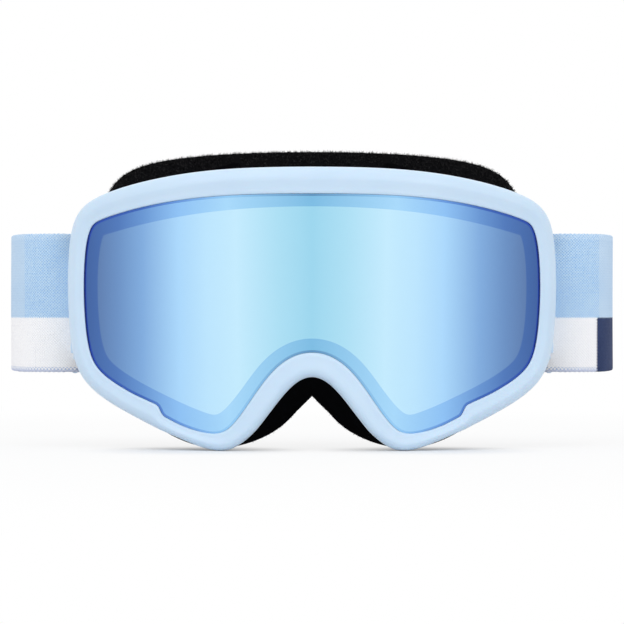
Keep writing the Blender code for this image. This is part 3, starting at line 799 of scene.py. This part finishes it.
def cut_middle(shape, point, normal):
    middle = [face for face in shape.faces if face.material_index == 0]
    edges = list({edge for face in middle for edge in face.edges})
    verts = list({vert for face in middle for vert in face.verts})
    bmesh.ops.bisect_plane(shape, geom=verts + edges + middle, plane_co=point, plane_no=normal, dist=1e-7)


def curved_pane(name, outline, border, front, thickness, finishes):
    """A cylindrical pane: mirror in the middle, border strip, and its back and edge."""
    points, faces, kinds = flat_pane(outline, border)
    near = points.copy()
    far = points.copy()
    near[:, 1] = FRONT_Y + bow(points[:, 0], front)
    far[:, 1] = FRONT_Y + bow(points[:, 0], front + thickness)
    count = len(points)
    around = len(outline)
    back = [[count + i for i in reversed(face)] for face in faces]
    edge = [(i, (i + 1) % around, count + (i + 1) % around, count + i) for i in range(around)]
    finish_of = kinds + [3] * len(back) + [2] * len(edge)
    return make_object(name, np.concatenate([near, far]), faces + back + edge, finishes, finish_of, 50)


def make_lens():
    outer = curved_pane("mirrored_lens", LENS, BORDER, LENS_FRONT, LENS_THICKNESS,
                        [MIRROR, BORDER_MIRROR, EDGE_SHADE_MIRROR, BACK_TINT])
    finish_piece(outer, "lens", "outer_lens", "outer_lens")
    seat = inset(LENS, 0.3 * MM)
    inner = curved_pane("inner_pane", seat, inset(seat, 4 * MM), INNER_LENS_FRONT,
                        INNER_LENS_THICKNESS, [INNER_TINT] * 4)
    finish_piece(inner, "lens", "inner_lens", "inner_lens")


def make_spacer():
    """The foam gasket between the two panes, soft at its corners."""
    seat = inset(EASY_LENS, 1.0 * MM)
    band = inset(EASY_LENS, 5.0 * MM)
    front = LENS_FRONT + LENS_THICKNESS + 0.35 * MM
    back = INNER_LENS_FRONT - 0.35 * MM
    rings = [roughened(placed(seat + (band - seat) * share, depth), 0.1 * MM, 420)
             for share, depth in soft_section(0, 1, front, back)]
    spacer = ring_piece("spacer_gasket", rings, [SPACER_FOAM], smooth_angle=60)
    finish_piece(spacer, "lens", "spacer", "lens_spacer")


# ---------------------------------------------------------------- skirt and face foam
def box_tool(name, low, high, rounding):
    """A rounded block that cuts a vent."""
    shape = bmesh.new()
    low, high = Vector(low), Vector(high)
    place = Matrix.Translation((low + high) / 2) @ Matrix.Diagonal((*(high - low), 1))
    bmesh.ops.create_cube(shape, size=1, matrix=place)
    upright = [e for e in shape.edges if abs(e.verts[0].co.z - e.verts[1].co.z) > 1e-6]
    bmesh.ops.bevel(shape, geom=upright, offset=rounding, segments=5, affect="EDGES", profile=0.5)
    mesh = bpy.data.meshes.new(name)
    shape.to_mesh(mesh)
    shape.free()
    tool = bpy.data.objects.new(name, mesh)
    bpy.context.scene.collection.objects.link(tool)
    return tool


def cut(piece, tools):
    for tool in tools:
        modifier = piece.modifiers.new(tool.name, "BOOLEAN")
        modifier.operation = "DIFFERENCE"
        modifier.object = tool
    settle(piece)
    for tool in tools:
        bpy.data.objects.remove(tool)


def skirt_inside():
    """The front and back outlines of the skirt's inner wall."""
    front = placed(inset(EASY_LENS, SKIRT_INSET + SKIRT_WALL), SKIRT_START)
    return front, upright(inset(FACE, SKIRT_WALL), FACE_Y - FLANGE_THICKNESS)


def make_skirt():
    """The black skirt from the rim back to the foam, with vents in its top and bottom."""
    front_out = placed(inset(EASY_LENS, SKIRT_INSET), SKIRT_START)
    front_in, wall_in = skirt_inside()
    face_out = upright(FACE, FACE_Y)
    face_in = upright(FACE_IN, FACE_Y)
    back = np.array((0, FLANGE_THICKNESS, 0))
    slope = face_out - back - front_out
    rings = [front_out + slope * share for share in (0, 0.02, 0.25, 0.5, 0.75, 0.97, 1)]
    rings += [face_out, face_in, face_in - back]
    rings += [wall_in + (front_in - wall_in) * share for share in (0, 0.03, 0.5, 0.97, 1)]
    skirt = ring_piece("skirt", rings, [RUBBER], smooth_angle=35)
    tools = []
    pitch = 23 * MM
    half_width = 9.5 * MM
    half_depth = 3.5 * MM
    corner = 2.2 * MM
    below, above = -0.1, 0.2
    middle_y = FRONT_Y + (FRAME_BACK + FACE_Y[0] - FRONT_Y) / 2
    for number in range(4):
        x = (number - 1.5) * pitch
        y = middle_y + bow(x, FRAME_BACK) - FRAME_BACK
        low = (x - half_width, y - half_depth, MIDDLE_Z)
        tools.append(box_tool(f"vent_{number}", low, (x + half_width, y + half_depth, above), corner))
    for side, word in SIDES:
        x = side * 47 * MM
        y = FRONT_Y + bow(x, FRAME_BACK) + (FACE_Y[0] - FRONT_Y - FRAME_BACK) / 2.4
        low = (x - half_width, y - half_depth, below)
        tools.append(box_tool("vent_" + word, low, (x + half_width, y + half_depth, MIDDLE_Z), corner))
    cut(skirt, tools)
    finish_piece(skirt, "frame", "skirt", "face_skirt")
    make_pile(skirt, "skirt", 24000, seed=9)


def make_vent_foam(name, node, keep):
    """A strip of open foam inside the skirt's wall, along the outline points that keep() accepts."""
    near, far = skirt_inside()
    order = np.roll(np.arange(len(RIM)), len(RIM) // 2)
    chosen = [i for i in order if keep(*RIM[i])]
    from_end = np.minimum(np.arange(len(chosen)), np.arange(len(chosen))[::-1])
    fullness = np.sqrt(1 - np.clip(1 - (from_end + 0.6) / 2.6, 0, 1) ** 2)[:, None]
    rings = []
    for share, step in soft_section(0.22, 0.86, 0.5 * MM, 2.95 * MM):
        wall = near + (far - near) * share
        rings.append(upright(inset(wall[:, [0, 2]], step), wall[:, 1])[chosen])
    middle = sum(rings) / len(rings)
    rings = [roughened(middle + (one - middle) * fullness, 0.22 * MM, 330) for one in rings]
    faces = open_faces(len(rings), len(chosen))
    strip = make_object(name, np.concatenate(rings), faces, [VENT_FOAM], smooth_angle=60)
    finish_piece(strip, "frame", "vent_foam", node)


def make_vent_foams():
    make_vent_foam("top_vent_strip", "top_vent_foam", lambda x, z: abs(x) < 50 * MM and z > MIDDLE_Z)
    for side, word in SIDES:
        make_vent_foam(word + "_bottom_vent_strip", word + "_bottom_vent_foam",
                       lambda x, z, side=side: 32 * MM < x * side < 62 * MM and z < MIDDLE_Z)


def rounded_section(width_steps, depth, rounding):
    """(share across, distance back) points round a foam layer's section, with soft corners."""
    share_round = rounding / (13 * MM)
    corner = [math.pi / 2 * i / 4 for i in range(5)]
    front = [(share_round + (1 - 2 * share_round) * i / width_steps, 0) for i in range(1, width_steps)]
    back = [(share, depth) for share, _ in reversed(front)]
    quarter = [(1 - math.sin(a), 1 - math.cos(a)) for a in corner]
    near_out = [(share_round * s, rounding * d) for s, d in reversed(quarter)]
    near_in = [(1 - share_round * s, rounding * d) for s, d in quarter]
    far_in = [(s, depth - d) for s, d in reversed(near_in)]
    far_out = [(s, depth - d) for s, d in reversed(near_out)]
    return near_out[::-1] + front + near_in[::-1] + far_in[::-1] + back + far_out[::-1]


def foam_rings(start, depth, rounding, swell):
    """Rings of a foam layer, a little fuller in its middle than at its glued faces."""
    rings = []
    for share, back in rounded_section(6, depth, rounding):
        flat = FACE + (FACE_IN - FACE) * share
        fullness = math.sin(math.pi * min(max(back / depth, 0), 1)) * swell
        flat = flat + (FACE - FACE_IN) * ((0.5 - share) * 2 * fullness)
        rings.append(upright(flat, FACE_Y + start + back))
    return rings


def make_face_foam():
    """The three layers of the face foam, each with its own short pile; the last is the fleece."""
    gap = 0.3 * MM
    start = gap
    layers = (
        ("base_foam_ring", "face_foam_base", 5.0 * MM, BASE_FOAM, "foam_base", 0.4, 0.010, 7000),
        ("mid_foam_ring", "face_foam_mid", 8.0 * MM, MID_FOAM, "foam_mid", 0.5, 0.016, 8000),
        ("fleece_ring", "face_fleece", 2.0 * MM, PILE, "fleece", 0.9, 0.012, 9000),
    )
    for name, node, depth, finish, slot, rounding, swell, fibres in layers:
        rings = [roughened(one, 0.12 * MM, 260, start * 900) for one in
                 foam_rings(start, depth, rounding * MM, swell)]
        for one in rings:
            one[:, 2] = np.maximum(one[:, 2], 0.02 * MM)
        piece = ring_piece(name, rings, [finish], smooth_angle=60)
        finish_piece(piece, "frame", slot, node)
        make_pile(piece, slot, fibres)
        start += depth + gap


def has_pile(polygon, slot):
    """Whether a face is flocked: the skirt's outside, the foam's open sides and the fleece's back."""
    if slot == "skirt":
        outwards = polygon.normal.x * polygon.center.x + polygon.normal.z * (polygon.center.z - 0.05)
        return len(polygon.vertices) == 4 and outwards > 0.01 and polygon.center.z > 0.045
    return abs(polygon.normal.y) < 0.75 or (slot == "fleece" and polygon.normal.y > 0)


def make_pile(piece, slot, count, seed=4):
    """Short fibres standing on a soft ring's free faces, each a thin three-sided spike."""
    chance = random.Random(seed)
    mesh = piece.data
    back = max(vertex.co.y for vertex in mesh.vertices)
    free = [polygon for polygon in mesh.polygons if has_pile(polygon, slot)]
    areas = np.array([polygon.area for polygon in free])
    edges = np.cumsum(areas) / areas.sum()
    points = []
    faces = []
    width = 0.1 * MM
    for _ in range(count):
        polygon = free[min(int(np.searchsorted(edges, chance.random())), len(areas) - 1)]
        corners = [mesh.vertices[i].co for i in polygon.vertices]
        u, v = chance.random(), chance.random()
        root = corners[0].lerp(corners[1], u).lerp(corners[3].lerp(corners[2], u), v)
        lean = Vector([chance.uniform(-1, 1) for _ in range(3)]) * 0.7
        way = (polygon.normal + lean).normalized()
        length = chance.uniform(0.4, 1.25 if slot == "skirt" else 1.0) * MM
        if root.z < 2.0 * MM or root.y + way.y * length > back:
            continue
        side = way.orthogonal().normalized()
        other = way.cross(side)
        first = len(points)
        root = root - way * 0.1 * MM
        for turn in (0, 2.1, 4.2):
            points.append(root + side * (math.cos(turn) * width) + other * (math.sin(turn) * width))
        points.append(root + way * length)
        faces += [(first, first + 1, first + 2), (first, first + 1, first + 3),
                  (first + 1, first + 2, first + 3), (first + 2, first, first + 3)]
    pile = make_object(slot + "_fibres", points, faces, [PILE])
    finish_piece(pile, "frame", slot)


# ---------------------------------------------------------------- strap
def bend_point(angle, radius):
    return (BEND_X + radius * math.sin(angle), BEND_Y - radius * math.cos(angle))


def outer_path():
    """The outer layer's middle line, from the left end round the back to the right end."""
    step = 0.45 * MM
    turns = int(BEND_RADIUS * (math.pi - END_ANGLE) / step)
    right = [bend_point(math.pi - (math.pi - END_ANGLE) * i / turns, BEND_RADIUS) for i in range(turns + 1)]
    left = [(-x, y) for x, y in reversed(right)]
    steps = int(2 * BEND_X / step)
    run = [(-BEND_X + 2 * BEND_X * i / steps, RUN_Y) for i in range(1, steps)]
    return left + run + right


def end_path():
    """The right sewn end's middle line: in along the bend, round the bar, and back out."""
    layer = STRAP_THICKNESS + LAYER_GAP
    steps = 26
    path = [bend_point(END_ANGLE * (1 - i / steps), BEND_RADIUS) for i in range(steps)]
    for i in range(17):
        angle = math.pi * i / 16
        path.append((BAR_X - LOOP_RADIUS * math.sin(angle), BAR_Y - LOOP_RADIUS * math.cos(angle)))
    for i in range(1, steps + 1):
        share = min(1, i / steps * 1.25)
        radius = BEND_RADIUS - 2 * LOOP_RADIUS * (1 - share) - layer * share
        path.append(bend_point(END_ANGLE * i / steps, radius))
    return path


def inner_path(slider_edge):
    """The right inner layer's middle line, from the sewn end to the slider."""
    radius = BEND_RADIUS - STRAP_THICKNESS - LAYER_GAP
    turns = 120
    path = [bend_point(END_ANGLE + (math.pi - END_ANGLE) * i / turns, radius) for i in range(turns + 1)]
    start = path[-1][0]
    steps = 70
    return path + [(start + (slider_edge - start) * i / steps, path[-1][1]) for i in range(1, steps + 1)]


def strap_section():
    """(across, up, face kind) round the strap: its outer face, top edge, inner face, lower edge."""
    rows = 22
    half = STRAP_THICKNESS / 2
    edge = 0.7 * MM
    up = [edge + (STRAP_HEIGHT - 2 * edge) * i / rows for i in range(rows + 1)]
    outer = [(half, z, 0) for z in up]
    inner = [(-half, z, 1) for z in reversed(up)]
    arc = [math.pi * i / 6 for i in range(1, 6)]
    top = [(half * math.cos(a), STRAP_HEIGHT - edge + edge * math.sin(a), 0) for a in arc]
    low = [(-half * math.cos(a), edge - edge * math.sin(a), 0) for a in arc]
    return outer + top + inner + low


EDGE_LOOP_PITCH = 1.8 * MM
EDGE_LOOP_HEIGHT = 0.2744 * MM
EDGE_BAND = 0.07              # the share of the half height over which the edge's loops fade in


def ribbon(name, path, start, finishes, flip=1, pinch=True):
    """A strap along a path, with looped edges; start is the UV's length at its first point."""
    path = np.array(path)
    run = np.gradient(path, axis=0)
    run /= np.linalg.norm(run, axis=1)[:, None]
    out = np.stack([-run[:, 1], run[:, 0]], 1)
    length = np.concatenate([[0], np.cumsum(np.linalg.norm(np.diff(path, axis=0), axis=1))])
    section = strap_section()
    scallop = EDGE_LOOP_HEIGHT * np.abs(np.sin(math.pi * (start + length) / EDGE_LOOP_PITCH))
    short = STRAP_EDGE_X - np.abs(path[:, 0])
    narrow = (0.25 * np.exp(-(short / (4.5 * MM)) ** 2) + 0.9 * np.exp(-(short / (0.55 * MM)))) * MM * pinch
    rings = []
    for across, up, _ in section:
        lift = up - STRAP_HEIGHT / 2
        edge = abs(lift) / (STRAP_HEIGHT / 2)
        looped = max(0, edge - (1 - EDGE_BAND)) / EDGE_BAND
        shrink = math.copysign(1, lift) * (narrow * edge + scallop * looped)
        wave = 0.12 * MM * np.sin((start + length) * 140 + lift * 90)
        flat = path + out * (across + wave[:, None] * 0.5)
        rings.append(np.stack([flat[:, 0] * flip, flat[:, 1], STRAP_Z + lift - shrink], 1))
    count = len(path)
    faces = open_faces(len(rings), count)
    kinds = [kind for _, _, kind in section for _ in range(count - 1)] + [1, 1]
    piece = make_object(name, np.concatenate(rings), faces, finishes, kinds, 60)
    chart = piece.data.uv_layers.new(name="weave")
    corner_vertex = np.array([loop.vertex_index for loop in piece.data.loops])
    up_of = np.array([row[1] for row in section])
    uv = np.stack([(start + length[corner_vertex % count]) * flip, up_of[corner_vertex // count]], 1)
    chart.data.foreach_set("uv", uv.astype(np.float32).ravel())
    return piece


# (along, lift, half width) in millimetres at the four rings of one stitch
STITCH_SHAPE = ((-0.8, -0.1, 0.08), (-0.45, 0.14, 0.2), (0.45, 0.14, 0.2), (0.8, -0.1, 0.08))


def stitches(name, places):
    """Rows of short raised stitches; each place is (middle, direction, outward)."""
    points = []
    faces = []
    for middle, way, out in places:
        side = way.cross(out).normalized()
        first = len(points)
        for along, lift, half in STITCH_SHAPE:
            centre = middle + way * (along * MM) + out * (lift * MM)
            for turn in range(6):
                angle = math.pi / 3 * turn
                points.append(centre + (side * math.cos(angle) + out * math.sin(angle)) * (half * MM))
        for ring in range(3):
            for turn in range(6):
                a = first + ring * 6 + turn
                b = first + ring * 6 + (turn + 1) % 6
                faces.append((a, b, b + 6, a + 6))
        faces.append(list(range(first, first + 6)))
        faces.append(list(range(first + 23, first + 17, -1)))
    return make_object(name, points, faces, [THREAD], smooth_angle=80)


STITCHES_UP = 19


def stitch_heights():
    """Heights of one row of stitches across the strap."""
    reach = STRAP_HEIGHT - 5 * MM
    return [STRAP_Z + (i / (STITCHES_UP - 1) - 0.5) * reach for i in range(STITCHES_UP)]


def tack_places(side, angles, radius, outward):
    """Stitch places down the strap at angles of the bend."""
    places = []
    for angle in angles:
        x, y = bend_point(angle, radius + outward * STRAP_THICKNESS / 2)
        out = Vector((side * math.sin(angle), -math.cos(angle), 0)) * outward
        for z in stitch_heights():
            places.append((Vector((side * x, y, z)), Vector((0, 0, 1)), out))
    return places


def make_strap():
    main = ribbon("strap_band", outer_path(), -RUN_LENGTH, [KNIT, LINING])
    finish_piece(main, "frame", "strap", "strap_main")
    for side, word in SIDES:
        bend_start = (side * (BAR_X - 1 * MM), 0, 0)
        bend_end = (side * (BAR_X + 10.5 * MM), 0, 0)
        end = ribbon(word + "_strap_loop", end_path(), RUN_LENGTH, [KNIT, LINING], side, pinch=False)
        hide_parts(word + "_strap_end")
        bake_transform(end)
        rows = [math.radians(a) for a in (19, 24)]
        within = BEND_RADIUS - STRAP_THICKNESS - LAYER_GAP
        tack = stitches(word + "_loop_stitching", tack_places(side, rows, within, -1))
        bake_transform(tack)
        slider_low, slider_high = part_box(word + "_slider")
        slider_x = abs((slider_low.x + slider_high.x) / 2)
        edge = slider_x + 1.8 * MM
        inner = ribbon(word + "_strap_return", inner_path(edge), 0, [LINING, LINING], side, pinch=False)
        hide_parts(word + "_strap_inner_layer")
        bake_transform(inner)
        face_y = RUN_Y - STRAP_THICKNESS * 1.5 - LAYER_GAP
        places = []
        for column in range(3):
            x = side * (edge + (1.6 + 2.2 * column) * MM)
            for z in stitch_heights():
                places.append((Vector((x, face_y, z)), Vector((0, 0, 1)), Vector((0, -1, 0))))
        tack = stitches(word + "_slider_stitching", places)
        finish_piece(tack, word + "_slider", "strap_lining")


# ---------------------------------------------------------------- strap connectors
PLATE_ANGLE = math.radians(80)
PLATE_THICKNESS = 2.0 * MM
WEB_THICKNESS = 1.8 * MM
# (radius, height) in millimetres round the knuckle's section, outside first
KNUCKLE_SECTION = (
    (2.4, -13.1), (2.4, 13.1), (2.2, 13.5), (1.7, 13.5),
    (1.5, 13.2), (1.5, -13.2), (1.7, -13.5), (2.2, -13.5),
)
# (low, high, half height, rounding, taper) in millimetres; low and high are measured from the pin
CLIP_OUTSIDE = (3.0, 10.0, 26.0, 1.2, 9.0)
CLIP_OPENING = (4.4, 8.0, 22.7, 0.4, 4.6)
CLIP_WAIST = (1.9, 3.6, 13.0, 0.4, 0.0)


def rounded_rectangle(sizes):
    """Points (u, z) round a rectangle with rounded corners, lower by the taper at its low side."""
    low, high, half_height, rounding, taper = (size * MM for size in sizes)
    points = []
    corners = ((high, half_height), (low, half_height), (low, -half_height), (high, -half_height))
    for quarter, (u, z) in enumerate(corners):
        inner_u = u - math.copysign(rounding, u - (low + high) / 2)
        inner_z = z - math.copysign(rounding, z)
        for i in range(7):
            angle = math.radians(90 * quarter + 15 * i)
            reach_u = inner_u + rounding * math.cos(angle)
            reach_z = inner_z + rounding * math.sin(angle)
            lowered = taper * (high - reach_u) / (high - low)
            points.append((reach_u, reach_z - math.copysign(lowered, z)))
    return points


def make_connectors():
    """The moulded clip on each side: a knuckle round the pin, a web, and a frame for the strap."""
    for side, word in SIDES:
        pin = pin_centre(word)
        along = Vector((side * math.cos(PLATE_ANGLE), math.sin(PLATE_ANGLE), 0))
        through = Vector((-along.y, along.x, 0))

        def place(u, t, z):
            return tuple(pin + along * u + through * t + Vector((0, 0, z)))

        half = PLATE_THICKNESS / 2
        outer = rounded_rectangle(CLIP_OUTSIDE)
        inner = rounded_rectangle(CLIP_OPENING)
        turn = [math.radians(a) for a in range(-90, 91, 30)]
        soft = 0.45 * MM
        rings = []
        for outline, sign in ((outer, 1), (inner, -1)):
            middle_u = sum(u for u, z in outline) / len(outline)
            for angle in turn:
                t = math.sin(angle) * half * sign
                pull = soft * (1 - math.cos(angle)) * sign
                ring = [place(u - math.copysign(pull, u - middle_u), t, z - math.copysign(pull, z))
                        for u, z in outline]
                rings.append(np.array(ring))
        plate = ring_piece(word + "_clip_frame", rings, [RIM_PLASTIC])
        circle = [math.pi * i / 16 for i in range(32)]
        rings = [np.array([place(r * MM * math.cos(a), r * MM * math.sin(a), z * MM) for a in circle])
                 for r, z in KNUCKLE_SECTION]
        knuckle = ring_piece(word + "_clip_knuckle", rings, [RIM_PLASTIC])
        waist = rounded_rectangle(CLIP_WAIST)
        half_web = WEB_THICKNESS / 2
        web = prism(word + "_clip_web", waist, -half_web, half_web,
                    lambda u, z, t: place(u, t, z), RIM_PLASTIC)
        finish_piece(plate, word + "_connector", "connector", word + "_connector")
        finish_piece(knuckle, word + "_connector", "connector")
        finish_piece(web, word + "_connector", "connector")


# ---------------------------------------------------------------- hardware kept from the solids
def paint_nodes():
    """Give the solids that stay visible their finishes and softened edges."""
    kept = {
        "lens_vent_filter": (MEMBRANE, 0.12),
        "left_hinge_pin": (STEEL, 0.2), "right_hinge_pin": (STEEL, 0.2),
        "left_slider": (PLASTIC, 0.55), "right_slider": (PLASTIC, 0.55),
        "silicone_grip_1": (SILICONE, 0.24), "silicone_grip_2": (SILICONE, 0.24),
        "silicone_grip_3": (SILICONE, 0.24),
    }
    for name, (finish, width) in kept.items():
        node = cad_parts[name]
        node.data.materials.clear()
        node.data.materials.append(finish)
        node.data.polygons.foreach_set("material_index", [0] * len(node.data.polygons))
        weld = node.modifiers.new("weld", "WELD")
        weld.merge_threshold = 0.00001
        soften(node, width * MM)


# ---------------------------------------------------------------- stage
CAMERA_DISTANCE = 1.2
FIELD_WIDTH = 213.8 * MM      # the width that the camera takes in at the rim's front
EYE_HEIGHT = 47.9 * MM


def make_camera():
    data = bpy.data.cameras.new("camera")
    data.sensor_width = 36
    data.lens = data.sensor_width * CAMERA_DISTANCE / FIELD_WIDTH
    camera = bpy.data.objects.new("camera", data)
    camera.location = (0, FRONT_Y - CAMERA_DISTANCE, EYE_HEIGHT)
    camera.rotation_euler = (math.pi / 2, 0, 0)
    bpy.context.scene.collection.objects.link(camera)
    bpy.context.scene.camera = camera


def area_light(name, place, target, size, power):
    data = bpy.data.lights.new(name, "AREA")
    data.shape = "RECTANGLE"
    data.size, data.size_y = size
    data.energy = power
    lamp = bpy.data.objects.new(name, data)
    lamp.location = place
    lamp.rotation_euler = (Vector(target) - Vector(place)).to_track_quat("-Z", "Y").to_euler()
    bpy.context.scene.collection.objects.link(lamp)


AMBIENT = 0.82                # how bright the surroundings are where they only give light


class Surroundings(Finish):
    """The world's nodes, written with the same means as a finish."""

    def __init__(self, world):
        self.nodes = world.node_tree.nodes
        self.links = world.node_tree.links


def seen_wire(finish):
    """1 where a camera, glossy or transmission ray looks."""
    seen = finish.add("ShaderNodeLightPath", output="Is Camera Ray")
    for ray in ("Is Glossy Ray", "Is Transmission Ray"):
        seen = seen.at_least(finish.add("ShaderNodeLightPath", output=ray))
    return seen


def pale_floor():
    """A pale floor that keeps the shadow near the goggles and goes plain white further out."""
    finish = Finish("pale_floor", base_color=(0.85, 0.85, 0.86), roughness=0.9, specular_ior_level=0.1)
    reach = finish.add("ShaderNodeVectorMath", {"operation": "LENGTH"}, [finish.place()], output="Value")
    share = finish.fade(reach, 0.2, 0.5, 0.86, 1.0)
    for side in (-1, 1):
        foot = (side * 41 * MM, FRONT_Y + 9 * MM, 0)
        made = [finish.place(), foot]
        reach = finish.add("ShaderNodeVectorMath", {"operation": "DISTANCE"}, made, output="Value")
        share = share * finish.fade(reach, 0.004, 0.044, 0.22, 1.0)
    shaded = Wire(finish, finish.shader.outputs[0])
    white = finish.add("ShaderNodeEmission")
    mixed = finish.add("ShaderNodeMixShader", None, [seen_wire(finish) * share, shaded, white])
    finish.links.new(mixed.socket, finish.nodes["Material Output"].inputs["Surface"])
    return finish.material


def make_stage():
    scene = bpy.context.scene
    reach = 6.0
    corners = [(-reach, -reach, 0), (reach, -reach, 0), (reach, reach, 0), (-reach, reach, 0)]
    floor = make_object("floor", corners, [(0, 1, 2, 3)], [pale_floor()])
    world = bpy.data.worlds.new("studio")
    scene.world = world
    world.use_nodes = True
    sky = Surroundings(world)
    background = sky.nodes["Background"]
    background.inputs["Color"].default_value = (1.0, 1.0, 1.0, 1)
    strength = seen_wire(sky) * (1 - AMBIENT) + AMBIENT
    sky.links.new(strength.socket, background.inputs["Strength"])
    area_light("key", (-0.7, -1.1, 1.1), (0, 0, 0.05), (0.9, 0.9), 4)
    area_light("fill", (0.9, -1.1, 0.7), (0, 0, 0.05), (0.9, 0.7), 2.6)
    area_light("top", (0, -0.4, 1.4), (0, 0, 0.05), (1.2, 0.9), 1.4)
    area_light("back", (0, 1.2, 1.0), (0, 0, 0.06), (1.2, 0.6), 1.5)
    scene.view_settings.view_transform = "Standard"


make_camera()
make_stage()
make_rim()
make_lugs()
make_lens()
make_spacer()
make_skirt()
make_vent_foams()
make_face_foam()
make_strap()
make_connectors()
paint_nodes()
